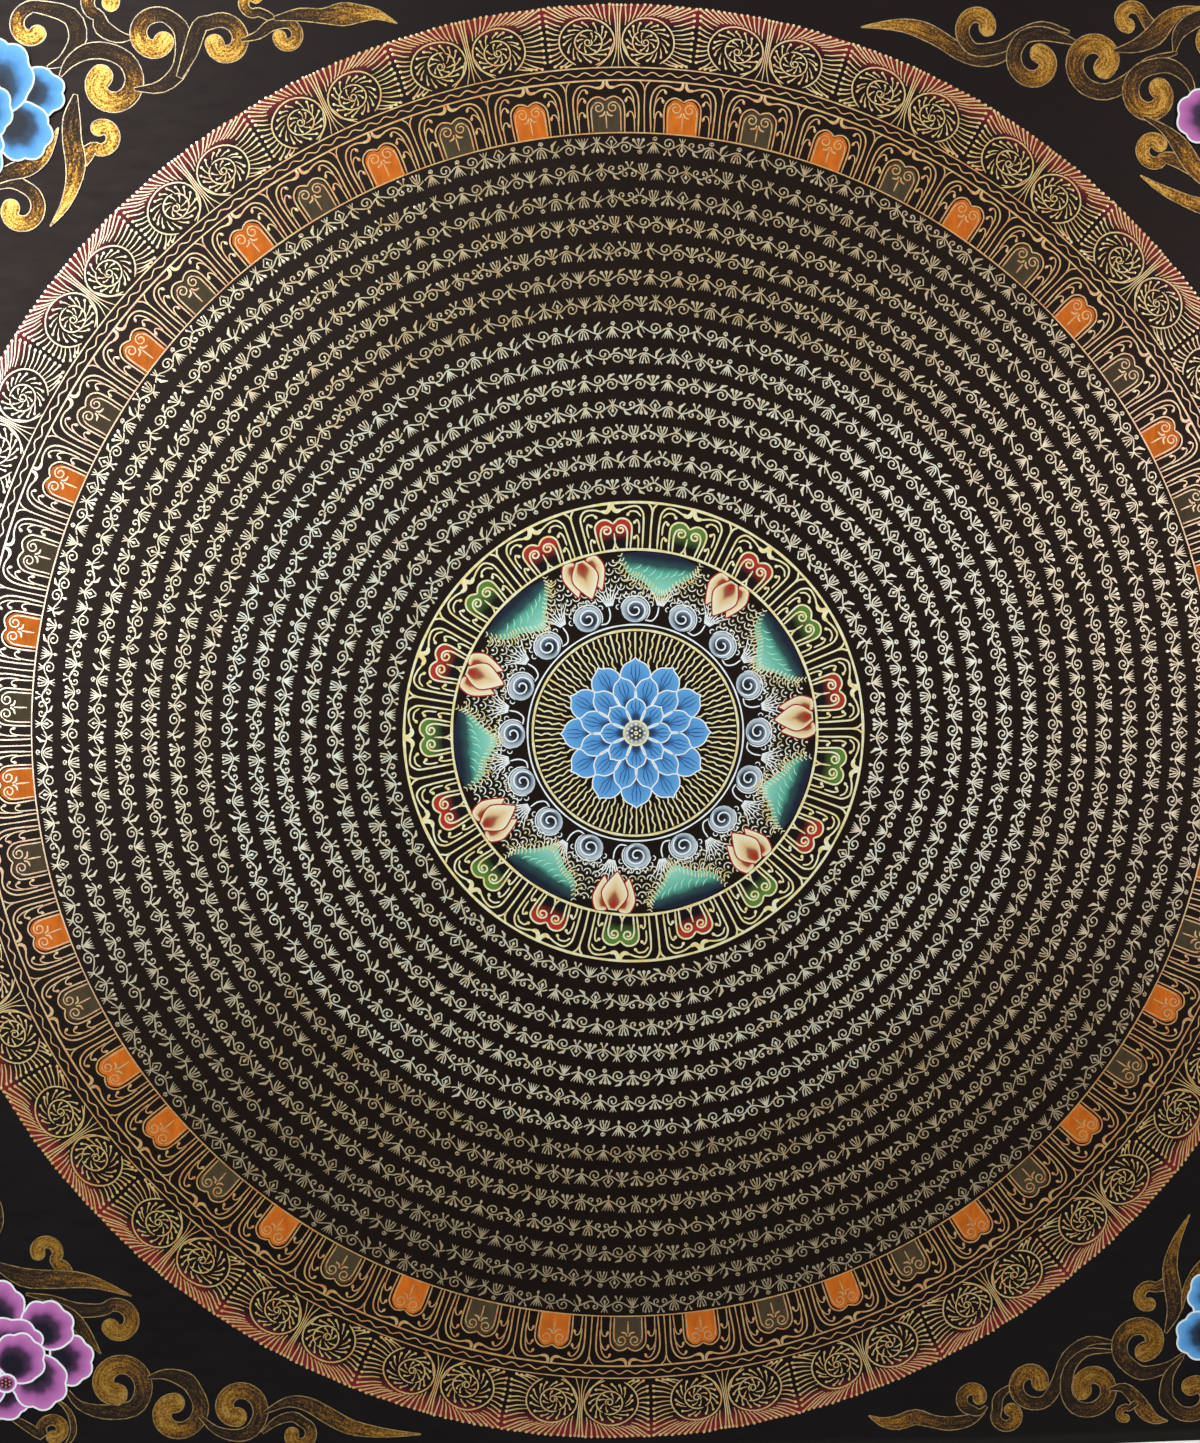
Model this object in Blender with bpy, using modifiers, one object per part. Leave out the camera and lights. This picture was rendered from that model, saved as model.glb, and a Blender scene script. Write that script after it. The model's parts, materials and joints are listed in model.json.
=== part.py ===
"""An unmounted hanging painting: one square of primed cotton canvas, in metres.

The canvas hangs in the XZ plane with its painted face towards -Y. The origin is the middle of
its top edge, halfway through the cloth, so everything else lies below it.
"""

import math

import bmesh
import bpy

# Driving dimensions
WIDTH = 0.510                # raw edge to raw edge, across
HEIGHT = 0.510               # top edge to bottom edge, hanging
THICKNESS = 0.001            # cotton, ground and paint together

# How the cloth hangs: flat along the strip it is held by, then slow, shallow waves
HELD_STRIP = 0.036           # flat height under the top edge
WAVES_SET_IN = 0.110         # height over which the waves grow below the held strip
BELLY = 0.0011               # slow upright wave across the width
BELLY_LENGTH = 0.430
SLANT = 0.0006               # smaller wave that runs down from left to right
SLANT_LENGTH = 0.290
HEM_LIFT = 0.0012            # the bottom edge curls forward at its corners
CURL_HEIGHT = 0.120

# The edges were cut by hand
CUT_WANDER = 0.0005
CUT_LENGTH = 0.170

COLUMNS = 30
ROWS = 30

CANVAS_COLOUR = (0.020, 0.017, 0.018, 1.0)
CANVAS_ROUGHNESS = 0.62


def smooth(t):
    """Eases from 0 to 1."""
    t = min(1.0, max(0.0, t))
    return t * t * (3.0 - 2.0 * t)


def hang(x, z):
    """How far the middle of the cloth stands off the XZ plane at (x, z)."""
    depth = -z
    growth = smooth((depth - HELD_STRIP) / WAVES_SET_IN)
    belly = BELLY * math.cos(2.0 * math.pi * (x - 0.06) / BELLY_LENGTH)
    slant = SLANT * math.sin(2.0 * math.pi * (x * 0.6 - z) / SLANT_LENGTH)
    corner = (2.0 * x / WIDTH) ** 4
    curl = HEM_LIFT * corner * smooth((depth - HEIGHT + CURL_HEIGHT) / CURL_HEIGHT)
    return growth * (belly + slant) - curl


def cut(x, z):
    """Where a point of the plain square comes to lie once the side and bottom cuts wander."""
    side = CUT_WANDER * math.sin(2.0 * math.pi * z / CUT_LENGTH) * 2.0 * x / WIDTH
    foot = CUT_WANDER * math.sin(2.0 * math.pi * x / CUT_LENGTH) * -z / HEIGHT
    return x + side, z + foot


def empty_scene():
    for thing in list(bpy.data.objects):
        bpy.data.objects.remove(thing)


def new_collection(name):
    collection = bpy.data.collections.new(name)
    bpy.context.scene.collection.children.link(collection)
    return collection


def painted_canvas():
    """The dark painted cloth's material."""
    material = bpy.data.materials.new("painted_canvas")
    material.use_nodes = True
    shader = material.node_tree.nodes["Principled BSDF"]
    shader.inputs["Base Color"].default_value = CANVAS_COLOUR
    shader.inputs["Roughness"].default_value = CANVAS_ROUGHNESS
    shader.inputs["Metallic"].default_value = 0.0
    return material


def canvas(collection):
    """A grid bent to the hanging shape, given the cloth's thickness about its middle."""
    sheet = bmesh.new()
    bmesh.ops.create_grid(sheet, x_segments=COLUMNS, y_segments=ROWS, size=0.5)
    for vertex in sheet.verts:
        across, up = vertex.co.x, vertex.co.y
        x, z = cut(across * WIDTH, (up - 0.5) * HEIGHT)
        vertex.co = (x, hang(x, z), z)
    mesh = bpy.data.meshes.new("canvas")
    sheet.to_mesh(mesh)
    sheet.free()
    cloth = bpy.data.objects.new("canvas", mesh)
    collection.objects.link(cloth)
    mesh.materials.append(painted_canvas())
    mesh.shade_smooth()
    wall = cloth.modifiers.new("thickness", "SOLIDIFY")
    wall.thickness = THICKNESS
    wall.offset = 0.0
    return cloth


empty_scene()
canvas(new_collection("painted_hanging"))
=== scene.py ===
# %% [markdown]
# # A mandala painted in gold on black canvas
# The real thing is one square of cotton cloth. It is primed, painted near-black, and then drawn on
# with a fine brush loaded with gold paint, so every line stands a little proud of the cloth. It hangs
# by its top edge. This lesson builds the cloth first, then a brush, then the rings of the drawing,
# its heart and its corners.

import json
import math
import random

import bmesh
import bpy
import numpy as np
from mathutils import Matrix, Vector

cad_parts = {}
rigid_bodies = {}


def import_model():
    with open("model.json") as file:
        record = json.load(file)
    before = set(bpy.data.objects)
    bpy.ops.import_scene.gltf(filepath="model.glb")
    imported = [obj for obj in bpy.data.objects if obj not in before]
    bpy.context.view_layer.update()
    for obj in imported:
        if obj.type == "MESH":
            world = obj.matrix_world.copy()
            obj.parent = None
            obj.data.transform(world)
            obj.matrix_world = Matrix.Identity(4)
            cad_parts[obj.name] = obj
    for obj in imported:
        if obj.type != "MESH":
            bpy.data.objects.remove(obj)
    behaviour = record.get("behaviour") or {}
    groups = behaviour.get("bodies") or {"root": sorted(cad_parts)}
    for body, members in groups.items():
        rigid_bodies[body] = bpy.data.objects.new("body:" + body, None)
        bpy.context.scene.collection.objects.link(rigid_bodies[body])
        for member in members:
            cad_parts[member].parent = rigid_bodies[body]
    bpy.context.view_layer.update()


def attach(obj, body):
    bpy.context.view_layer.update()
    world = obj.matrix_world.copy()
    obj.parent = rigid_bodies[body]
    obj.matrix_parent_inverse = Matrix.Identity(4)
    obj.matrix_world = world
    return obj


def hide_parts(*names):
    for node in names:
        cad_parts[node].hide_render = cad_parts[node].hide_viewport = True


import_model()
MM = 0.001

# %% [markdown]
# ## Sizes
# A painter rules a mandala from its middle with a compass, so radii drive everything here. Each band has a
# foot, the circle that its motifs stand on, and a height. Drawings of motifs are given in millimetres.

# %% Sizes
CLOTH = 510 * MM             # raw edge to raw edge, both ways
CLOTH_THICKNESS = 1.0 * MM
MIDDLE = -CLOTH / 2          # height of the mandala's middle below the top edge
RIM = 247.1                  # radii, in millimetres
WHEEL_FOOT = 225.7
PETAL_TOP = 221.4
PETAL_FOOT = 203.9
HEART_TOP = 79.2
HEART_FOOT = 63.1
FIRST_ROW = 85.0
ROW_STEP = 8.83
ROWS = 14
LINE = 0.62                  # width of a drawn line
print("rows of fine work:", ROWS, "from radius", FIRST_ROW, "to", round(FIRST_ROW + ROW_STEP * (ROWS - 1), 1))

# %% [markdown]
# ## How the cloth hangs
# The cloth is flat along the strip it is held by. Below it, two slow waves a millimetre or so
# deep run through it, and the lower corners lift a little. One function gives that shape, and all
# paint is laid on it later.

# %% The hanging shape
HELD_STRIP = 36 * MM
WAVES_SET_IN = 110 * MM
BELLY, BELLY_LENGTH, BELLY_AT = 1.1 * MM, 430 * MM, 60 * MM
SLANT, SLANT_LENGTH, SLANT_LEAN = 0.6 * MM, 290 * MM, 0.6
HEM_LIFT, CURL_HEIGHT = 1.2 * MM, 120 * MM
CUT_WANDER, CUT_LENGTH = 0.5 * MM, 170 * MM


def eased(t):
    """A smooth step from 0 to 1."""
    t = np.clip(t, 0.0, 1.0)
    return t * t * (3.0 - 2.0 * t)


def hang(x, z):
    """How far the middle of the cloth stands off the plane of its top edge."""
    growth = eased((-z - HELD_STRIP) / WAVES_SET_IN)
    belly = BELLY * np.cos(2 * np.pi * (x - BELLY_AT) / BELLY_LENGTH)
    slant = SLANT * np.sin(2 * np.pi * (x * SLANT_LEAN - z) / SLANT_LENGTH)
    curl = HEM_LIFT * (2 * x / CLOTH) ** 4 * eased((-z - CLOTH + CURL_HEIGHT) / CURL_HEIGHT)
    return growth * (belly + slant) - curl


def points_of(mesh):
    flat = np.empty(len(mesh.vertices) * 3)
    mesh.vertices.foreach_get("co", flat)
    return flat.reshape(-1, 3)


def lay_on_cloth(mesh):
    """Stands a flat drawing up against the cloth: x across, y up from the middle, z out of its face."""
    at = points_of(mesh)
    x, z = at[:, 0].copy(), at[:, 1] + MIDDLE
    at[:, 1] = hang(x, z) - CLOTH_THICKNESS / 2 - at[:, 2]
    at[:, 2] = z
    mesh.vertices.foreach_set("co", at.ravel())
    mesh.update()


print("waves, in mm:", [round(float(hang(x, MIDDLE)) * 1000, 2) for x in (-0.25, -0.12, 0.0, 0.12, 0.25)])

# %% [markdown]
# ## Materials
# Paint on cloth needs two things: small changes of tone, because paint is never even, and the right gloss.
# Both come from noise on Object coordinates, so they stay with the cloth from every side. Materials and
# shapes are both made of nodes here, so one small class adds nodes to either kind of tree.

# %% Adding nodes


class Nodes:
    """A node tree, with short ways to add to it. An input is given a value or the socket that feeds it."""

    def __init__(self, tree):
        self.tree = tree

    def node(self, kind, inputs=(), **settings):
        """Adds a node and returns its outputs."""
        node = self.tree.nodes.new(kind)
        for name, value in settings.items():
            setattr(node, name, value)
        for name, value in dict(inputs).items():
            if isinstance(value, bpy.types.NodeSocket):
                self.tree.links.new(value, node.inputs[name])
            else:
                node.inputs[name].default_value = value
        return node.outputs

    def math(self, operation, *values):
        return self.node("ShaderNodeMath", dict(enumerate(values)), operation=operation)[0]

    def vector(self, operation, *values):
        return self.node("ShaderNodeVectorMath", dict(enumerate(values)), operation=operation)[0]


# %% Material helpers


def linear(red, green, blue):
    """A screen colour from 0 to 255, as the linear colour that a shader wants."""
    parts = [c / 255 for c in (red, green, blue)]
    return [c / 12.92 if c <= 0.04045 else ((c + 0.055) / 1.055) ** 2.4 for c in parts] + [1.0]


class Finish(Nodes):
    """A Principled material. The shader's own values are given by socket name, with _ for a space."""

    def __init__(self, name, **values):
        self.material = bpy.data.materials.new(name)
        self.material.use_nodes = True
        super().__init__(self.material.node_tree)
        self.shader = self.tree.nodes["Principled BSDF"].inputs
        for socket, value in values.items():
            self.shader[socket.replace("_", " ")].default_value = value
        self.place = self.node("ShaderNodeTexCoord")["Object"]

    def attribute(self, name, output="Fac"):
        return self.node("ShaderNodeAttribute", attribute_name=name)[output]

    def noise(self, size, detail=3.0, stretch=(1, 1, 1), place=None):
        """Cloudy values, with blobs about size metres across."""
        where = self.node("ShaderNodeMapping", {"Vector": place or self.place, "Scale": stretch})[0]
        return self.node("ShaderNodeTexNoise", {"Vector": where, "Scale": 1 / size, "Detail": detail})["Fac"]

    def ramp(self, value, *stops):
        """Colours or greys at positions along value."""
        out = self.node("ShaderNodeValToRGB", {"Fac": value})["Color"]
        elements = out.node.color_ramp.elements
        while len(elements) < len(stops):
            elements.new(0.5)
        for element, (position, colour) in zip(elements, stops):
            element.position = position
            element.color = colour if hasattr(colour, "__len__") else (colour, colour, colour, 1.0)
        return out

    def colours(self, value, *stops):
        """A ramp of screen colours."""
        return self.ramp(value, *[(position, linear(*colour)) for position, colour in stops])

    def mix(self, amount, first, second, blend="MIX"):
        inputs = {0: amount, 6: first, 7: second}
        return self.node("ShaderNodeMix", inputs, data_type="RGBA", blend_type=blend)[2]

    def between(self, value, low, high):
        """0 where value is low, 1 where it is high, and a straight slope between."""
        return self.node("ShaderNodeMapRange", {"Value": value, "From Min": low, "From Max": high})[0]

    def weave(self, pitch):
        """Threads over and under, as a height from 0 to 1."""
        where = self.node("ShaderNodeMapping", {"Vector": self.place, "Scale": [math.pi / pitch] * 3})[0]
        parts = self.node("ShaderNodeSeparateXYZ", {0: where})
        crossing = self.math("MULTIPLY", self.math("SINE", parts["X"]), self.math("SINE", parts["Z"]))
        return self.math("MULTIPLY_ADD", crossing, 0.5, 0.5)

    def radius(self):
        """Distance from the mandala's middle, measured on the flat."""
        flat = self.vector("MULTIPLY", self.vector("ADD", self.place, (0, 0, -MIDDLE)), (1, 0, 1))
        return self.node("ShaderNodeVectorMath", {0: flat}, operation="LENGTH")["Value"]

    def set(self, name, value):
        self.tree.links.new(value, self.shader[name])

    def bump(self, height, depth):
        inputs = {"Height": height, "Distance": depth, "Strength": 1.0}
        self.set("Normal", self.node("ShaderNodeBump", inputs)[0])


print("black in linear light:", [round(c, 4) for c in linear(12, 7, 6)])

# %% [markdown]
# ## The cloth's two faces
# The black ground isn't one black. It is browner under the gold bands, where it was rubbed in with glue,
# bluer in the corners, and smooth enough to give back a brown sheen where light rakes it. The back is
# bare primed cotton. Both show a trace of the weave, which is far too fine to model and so is the one
# thing here left to bump.

# %% The cloth's materials
THREAD_PITCH = 0.55 * MM
FRONT_WEAVE, BACK_WEAVE = 0.006 * MM, 0.10 * MM
GROUND_SHEEN = (1.0, 0.63, 0.48, 1.0)
RIM_FADE = 3                 # the two blacks change over this many millimetres inside the rim


def black_ground():
    """Matt black paint rubbed into the weave: browner inside the circle, bluer in the corners."""
    finish = Finish("black_ground", Roughness=0.55, Specular_IOR_Level=0.26, Specular_Tint=GROUND_SHEEN)
    cloud = finish.noise(60 * MM, 4)
    brushing = finish.noise(3 * MM, 4, (0.3, 1.0, 1.0))
    corners = finish.colours(cloud, (0.3, (9, 11, 15)), (0.75, (14, 15, 20)))
    inside = finish.colours(cloud, (0.3, (12, 7, 6)), (0.75, (17, 11, 9)))
    tone = finish.mix(finish.between(finish.radius(), (RIM - RIM_FADE) * MM, RIM * MM), inside, corners)
    streaks = finish.ramp(brushing, (0.35, 0.9), (0.7, 1.0))
    finish.set("Base Color", finish.mix(1.0, tone, streaks, "MULTIPLY"))
    finish.set("Roughness", finish.ramp(brushing, (0.3, 0.46), (0.75, 0.6)))
    finish.bump(finish.weave(THREAD_PITCH), FRONT_WEAVE)
    return finish.material


def primed_back():
    """The unpainted back: cotton with a thin ground showing through it."""
    finish = Finish("primed_back", Roughness=0.9, Specular_IOR_Level=0.2)
    stain = finish.noise(90 * MM, 5)
    finish.set("Base Color", finish.colours(stain, (0.3, (222, 213, 194)), (0.7, (203, 192, 170))))
    finish.bump(finish.weave(THREAD_PITCH), BACK_WEAVE)
    return finish.material


CLOTH_FINISHES = [black_ground(), primed_back()]
print("cloth finishes:", [material.name for material in CLOTH_FINISHES])

# %% [markdown]
# ## The canvas
# A fine grid takes the hanging shape, and Solidify gives it the cloth's millimetre. Simulated cloth
# would look the same here, because primed cotton is stiff and this one hangs almost flat, so the
# function is the better choice.

# %% The canvas
CELLS = 102


def in_scene(name, data):
    """A new object in the scene, at the origin."""
    thing = bpy.data.objects.new(name, data)
    bpy.context.scene.collection.objects.link(thing)
    return thing


def grid_mesh(name, cells, half_side):
    """A flat square round the origin."""
    mesh = bpy.data.meshes.new(name)
    grid = bmesh.new()
    bmesh.ops.create_grid(grid, x_segments=cells, y_segments=cells, size=half_side)
    grid.to_mesh(mesh)
    grid.free()
    return mesh


def canvas_sheet():
    mesh = grid_mesh("painted_canvas", CELLS, 0.5)
    at = points_of(mesh)
    x, z = at[:, 0] * CLOTH, (at[:, 1] - 0.5) * CLOTH
    side = CUT_WANDER * np.sin(2 * np.pi * z / CUT_LENGTH) * 2 * x / CLOTH
    foot = CUT_WANDER * np.sin(2 * np.pi * x / CUT_LENGTH) * -z / CLOTH
    x, z = x + side, z + foot
    mesh.vertices.foreach_set("co", np.stack([x, hang(x, z), z], 1).ravel())
    mesh.shade_smooth()
    for material in CLOTH_FINISHES:
        mesh.materials.append(material)
    cloth = in_scene("painted_canvas", mesh)
    wall = cloth.modifiers.new("thickness", "SOLIDIFY")
    wall.thickness = CLOTH_THICKNESS
    wall.offset = 0.0
    wall.material_offset = 1
    wall.material_offset_rim = 1
    return cloth


canvas = canvas_sheet()
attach(canvas, "root")
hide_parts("canvas")
print("canvas grid faces:", len(canvas.data.polygons))

# %% [markdown]
# ## Gold paint
# Gold paint is ground gold in glue. Its flakes settle unevenly, so tone and gloss vary over a millimetre
# or two. It is only partly metallic, because the glue and the black between the flakes show too. Where a
# lamp is mirrored, the glue flashes white: that is a coat over the gold, with a high IOR and little
# roughness. The bands are warm, the rows paler towards the middle, and the heart is the palest, so each
# has a gold of its own.

# %% Gold
GLAZE_IOR, GLAZE_ROUGHNESS = 3.8, 0.24


def gold(name, deep, bright, roughness, metallic, gloss=0.0):
    """Ground gold in glue, in small flakes; gloss is how much of the glue's narrow white shine it has."""
    finish = Finish(name, Roughness=roughness, Metallic=metallic, Coat_Weight=gloss, Coat_IOR=GLAZE_IOR,
                    Coat_Roughness=GLAZE_ROUGHNESS)
    flakes = finish.noise(2.2 * MM, 5)
    finish.set("Base Color", finish.colours(flakes, (0.38, deep), (0.6, bright)))
    finish.set("Roughness", finish.ramp(flakes, (0.3, roughness + 0.12), (0.7, roughness - 0.06)))
    finish.bump(finish.noise(0.5 * MM, 3), 0.04 * MM)
    return finish.material


BAND_GOLD = gold("band_gold", (246, 146, 50), (255, 204, 108), 0.42, 0.38, 1.0)
WHEEL_GOLD = gold("wheel_gold", (252, 170, 70), (255, 222, 126), 0.42, 0.28, 1.0)
OUTER_ROW_GOLD = gold("outer_row_gold", (216, 170, 104), (255, 230, 178), 0.42, 0.82, 1.0)
MIDDLE_ROW_GOLD = gold("middle_row_gold", (232, 182, 114), (255, 232, 178), 0.42, 0.66, 1.0)
INNER_ROW_GOLD = gold("inner_row_gold", (250, 216, 162), (255, 250, 220), 0.44, 0.22, 1.0)
HEART_GOLD = gold("heart_gold", (250, 220, 138), (255, 246, 202), 0.45, 0.12, 0.2)
SCALE_GOLD = gold("scale_gold", (226, 204, 146), (252, 250, 236), 0.5, 0.2)
SCROLL_LINE = gold("scroll_line", (138, 102, 52), (214, 170, 94), 0.42, 0.6, 0.3)
print("golds:", [material.name for material in bpy.data.materials if "gold" in material.name])

# %% [markdown]
# ## Brushed gold
# The corners' scrolls are laid in twice: a thin brown wash, then gold that the brush leaves in streaks along
# the scroll. Each scroll's mesh carries two attributes. Shade says how much gold there is, with a painted
# highlight added along each scroll's ridge, and brush gives coordinates that run along the scroll, so that
# the streaks bend with it.

# %% The scrolls' gold
STREAKINESS, SPECKLE = 1.1, 1.4


def scroll_gold():
    """Gold brushed on over a thin brown wash, in streaks along the scroll: more of it where shade is high."""
    finish = Finish("scroll_gold", Roughness=0.45, Specular_IOR_Level=0.34, Specular_Tint=GROUND_SHEEN)
    streaks = finish.noise(0.7 * MM, 4, place=finish.attribute("brush", "Vector"))
    level = finish.attribute("shade")
    for pattern, share in ((streaks, STREAKINESS), (finish.noise(0.6 * MM, 6), SPECKLE)):
        level = finish.math("MULTIPLY_ADD", finish.math("SUBTRACT", pattern, 0.5), share, level)
    wash, gilt = ((0.12, (22, 17, 15)), (0.42, (62, 44, 28))), ((0.84, (192, 136, 50)), (1.0, (226, 176, 88)))
    finish.set("Base Color", finish.colours(level, *wash, (0.66, (144, 94, 34)), *gilt))
    finish.set("Metallic", finish.ramp(level, (0.4, 0.1), (0.8, 0.7)))
    finish.set("Roughness", finish.ramp(level, (0.5, 0.62), (0.9, 0.38)))
    finish.bump(finish.noise(0.75 * MM, 6), 0.05 * MM)
    return finish.material


SCROLL_GOLD = scroll_gold()
print("made", SCROLL_GOLD.name)

# %% [markdown]
# ## Colours
# Three kinds of colour are on the cloth. Flat paint is opaque and a little thinner in streaks. Ring paint
# fades out of the black between two radii. Petal paint is shaded with a dry brush from a dark root to a
# bright edge, which a petal's mesh carries as its shade attribute.

# %% Kinds of paint
NEAR_BLACK = linear(17, 16, 21)
RING_EDGE = 0.8              # how far, in millimetres, a ring's edge wanders either way
PETAL_PATCHES = 0.08         # how far patches shift a petal's shade either way


def flat_paint(name, colour, roughness=0.6, patchiness=0.9):
    """An opaque colour, a little thinner in streaks."""
    finish = Finish(name, Roughness=roughness, Specular_IOR_Level=0.2)
    thin = finish.ramp(finish.noise(2.5 * MM, 4, (1.0, 1.0, 0.4)), (0.3, patchiness), (0.65, 1.0))
    finish.set("Base Color", finish.mix(1.0, linear(*colour), thin, "MULTIPLY"))
    return finish.material


def ring_paint(name, colour, dark_radius, full_radius):
    """Paint that fades from near-black to its colour between two radii, with an uneven edge."""
    finish = Finish(name, Roughness=0.5, Specular_IOR_Level=0.21, Specular_Tint=GROUND_SHEEN)
    uneven = finish.math("MULTIPLY_ADD", finish.noise(1.5 * MM, 3), 2 * RING_EDGE * MM, finish.radius())
    reach = finish.between(uneven, (dark_radius + RING_EDGE) * MM, (full_radius + RING_EDGE) * MM)
    finish.set("Base Color", finish.mix(reach, NEAR_BLACK, linear(*colour)))
    return finish.material


def petal_paint(name, dark, body, bright, reach=0.3):
    """Paint shaded by each petal's shade value: dark from its root out to reach, then bright to its edge."""
    finish = Finish(name, Roughness=0.55, Specular_IOR_Level=0.3)
    cloud, shade = finish.noise(3 * MM, 5), finish.attribute("shade")
    patches = finish.math("MULTIPLY_ADD", cloud, 2 * PETAL_PATCHES, shade)
    level = finish.math("SUBTRACT", patches, PETAL_PATCHES)
    dusk = [(a + b) / 2.6 for a, b in zip(dark, body)]
    stops = (reach - 0.14, dark), (reach + 0.06, dusk), (reach + 0.22, body), (1.0, bright)
    finish.set("Base Color", finish.colours(level, *stops))
    return finish.material


# %% The colours
TAB_ORANGE = flat_paint("tab_orange", (218, 108, 20), 0.75, 0.7)
TAB_BROWN = flat_paint("tab_brown", (78, 62, 40), 0.75, 0.7)
WHITE_LINE = flat_paint("white_line", (250, 248, 244), 0.5)
NAVY_LINE = flat_paint("navy_line", (22, 46, 92))
SEED_PINK = flat_paint("seed_pink", (206, 120, 112))
HILL_LIGHT = flat_paint("hill_light", (186, 232, 206))
CUP_RED = flat_paint("cup_red", (176, 42, 24), patchiness=0.85)
RIM_RED = ring_paint("rim_red", (124, 33, 37), 239.4, 244.0)
HEAD_RED = ring_paint("head_red", (180, 50, 46), HEART_FOOT + 3.5, HEART_FOOT + 8.2)
HEAD_GREEN = ring_paint("head_green", (94, 132, 56), HEART_FOOT + 3.0, HEART_FOOT + 8.6)
BLUE_PETAL = petal_paint("blue_petal", (20, 20, 32), (84, 152, 212), (118, 188, 240), 0.55)
PINK_PETAL = petal_paint("pink_petal", (20, 14, 30), (176, 94, 158), (212, 126, 186), 0.52)
LOTUS_BLUE = petal_paint("lotus_blue", (22, 44, 84), (76, 142, 202), (104, 168, 220))
GREEN_HILL = petal_paint("green_hill", (14, 22, 44), (92, 174, 148), (150, 214, 190))
CREAM_PETAL = petal_paint("cream_petal", (172, 40, 20), (232, 190, 132), (250, 240, 206))
SMOKE = petal_paint("smoke", (10, 10, 14), (54, 72, 92), (206, 214, 220))
print("finishes in all:", len(bpy.data.materials))

# %% [markdown]
# ## A brush
# Each painted line is a curve whose points carry a radius. A Geometry Nodes tree sweeps a low roof-shaped
# profile along it, scaled by that radius, so a line can swell, taper and end in the round drop that a loaded
# brush leaves. The lines could also be a picture on the cloth, but then they would neither catch the light
# nor stay sharp up close.

# %% Lines as numbers


def flowing(points, steps=4):
    """A smooth line through hand-placed points."""
    at = np.asarray(points, float)
    ends = np.vstack([2 * at[:1] - at[1:2], at, 2 * at[-1:] - at[-2:-1]])
    t = np.linspace(0, 1, steps, endpoint=False)[:, None]
    spans = []
    for a, b, c, d in zip(ends, ends[1:], ends[2:], ends[3:]):
        curve = 2 * b + (c - a) * t + (2 * a - 5 * b + 4 * c - d) * t**2 + (3 * b - a - 3 * c + d) * t**3
        spans.append(curve / 2)
    return np.vstack(spans + [at[-1:]])


def arc(centre, radii, start, sweep, steps=12):
    """Part of a circle, ellipse or spiral; angles in degrees, anticlockwise from +x."""
    turn = np.radians(np.linspace(start, start + sweep, steps + 1))
    rx, ry = (np.asarray(r, float) for r in radii)
    fade = np.linspace(0, 1, steps + 1)
    across = rx if rx.ndim == 0 else rx[0] + (rx[1] - rx[0]) * fade
    up = ry if ry.ndim == 0 else ry[0] + (ry[1] - ry[0]) * fade
    return np.stack([centre[0] + across * np.cos(turn), centre[1] + up * np.sin(turn)], 1)


# %% Strokes
DROP = ((-0.85, 0.5), (-0.2, 1.0), (0.5, 0.88), (0.95, 0.3))  # along it, and across


def stroke(line, width=LINE, drop=0.0, swell=1.0, start=0.5, finish=0.5, grow=0.0):
    """Points (x, y, half-width) of one stroke. drop is the width of a round drop at its end."""
    line = np.asarray(line, float)
    along = np.linspace(0, 1, len(line))
    half = width / 2 * (1 + (swell - 1) * np.sin(np.pi * along) + grow * (along - 0.5))
    half[0] *= start
    if not drop:
        half[-1] *= finish
        return np.column_stack([line, half])
    way = line[-1] - line[-2]
    way /= np.linalg.norm(way)
    blob = [(*(line[-1] + way * a * drop / 2), w * drop / 2) for a, w in DROP]
    keep = np.linalg.norm(line - line[-1], axis=1) > drop * 0.6
    return np.vstack([np.column_stack([line, half])[keep], blob])


def even(line, width=LINE):
    """A stroke as wide at its ends as along it."""
    return stroke(line, width, start=1, finish=1)


def closed(outline, width):
    """A stroke that runs round an outline."""
    return even(np.vstack([outline, outline[:1]]), width)


def raised(strokes, height):
    """A stroke whose points also carry a height, in millimetres."""
    return np.column_stack([strokes, np.full(len(strokes), height)])


def circle(radius, width=LINE, wander=0.12, waves=0, height=0.0, steps=240, seed=0):
    """A closed line round the middle, with the slow wander of a hand on a compass."""
    turn = np.linspace(0, 2 * math.pi, steps + 1)
    slow = sum(np.sin(turn * k + seed * k + k * k) / k for k in (2, 5, 9, 14))
    out = radius + wander * slow * 0.5 + height * np.sin(turn * waves + 1.5 * slow)
    half = width / 2 * (1 + 0.18 * np.sin(turn * 23 + seed) * np.sin(turn * 7))
    return np.stack([out * np.sin(turn), out * np.cos(turn), half], 1)


def mirrored(strokes):
    return [s * (-1, 1, 1) for s in strokes]


def moved(strokes, x, y):
    return [s + (x, y, 0) for s in strokes]


print("a stroke with a drop:", len(stroke([(0, 0), (2, 1), (5, 1)], drop=1.0)), "points")

# %% [markdown]
# ## Node trees
# Three small trees do the work. `sweep` turns strokes into closed ridges of paint. `wind` sets copies of a
# motif along a straight strip and bends the strip round a circle, which is how a border is planned on paper
# too. `turn` repeats a motif by turning it about the middle, for rosettes.

# %% Tree builder


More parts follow.
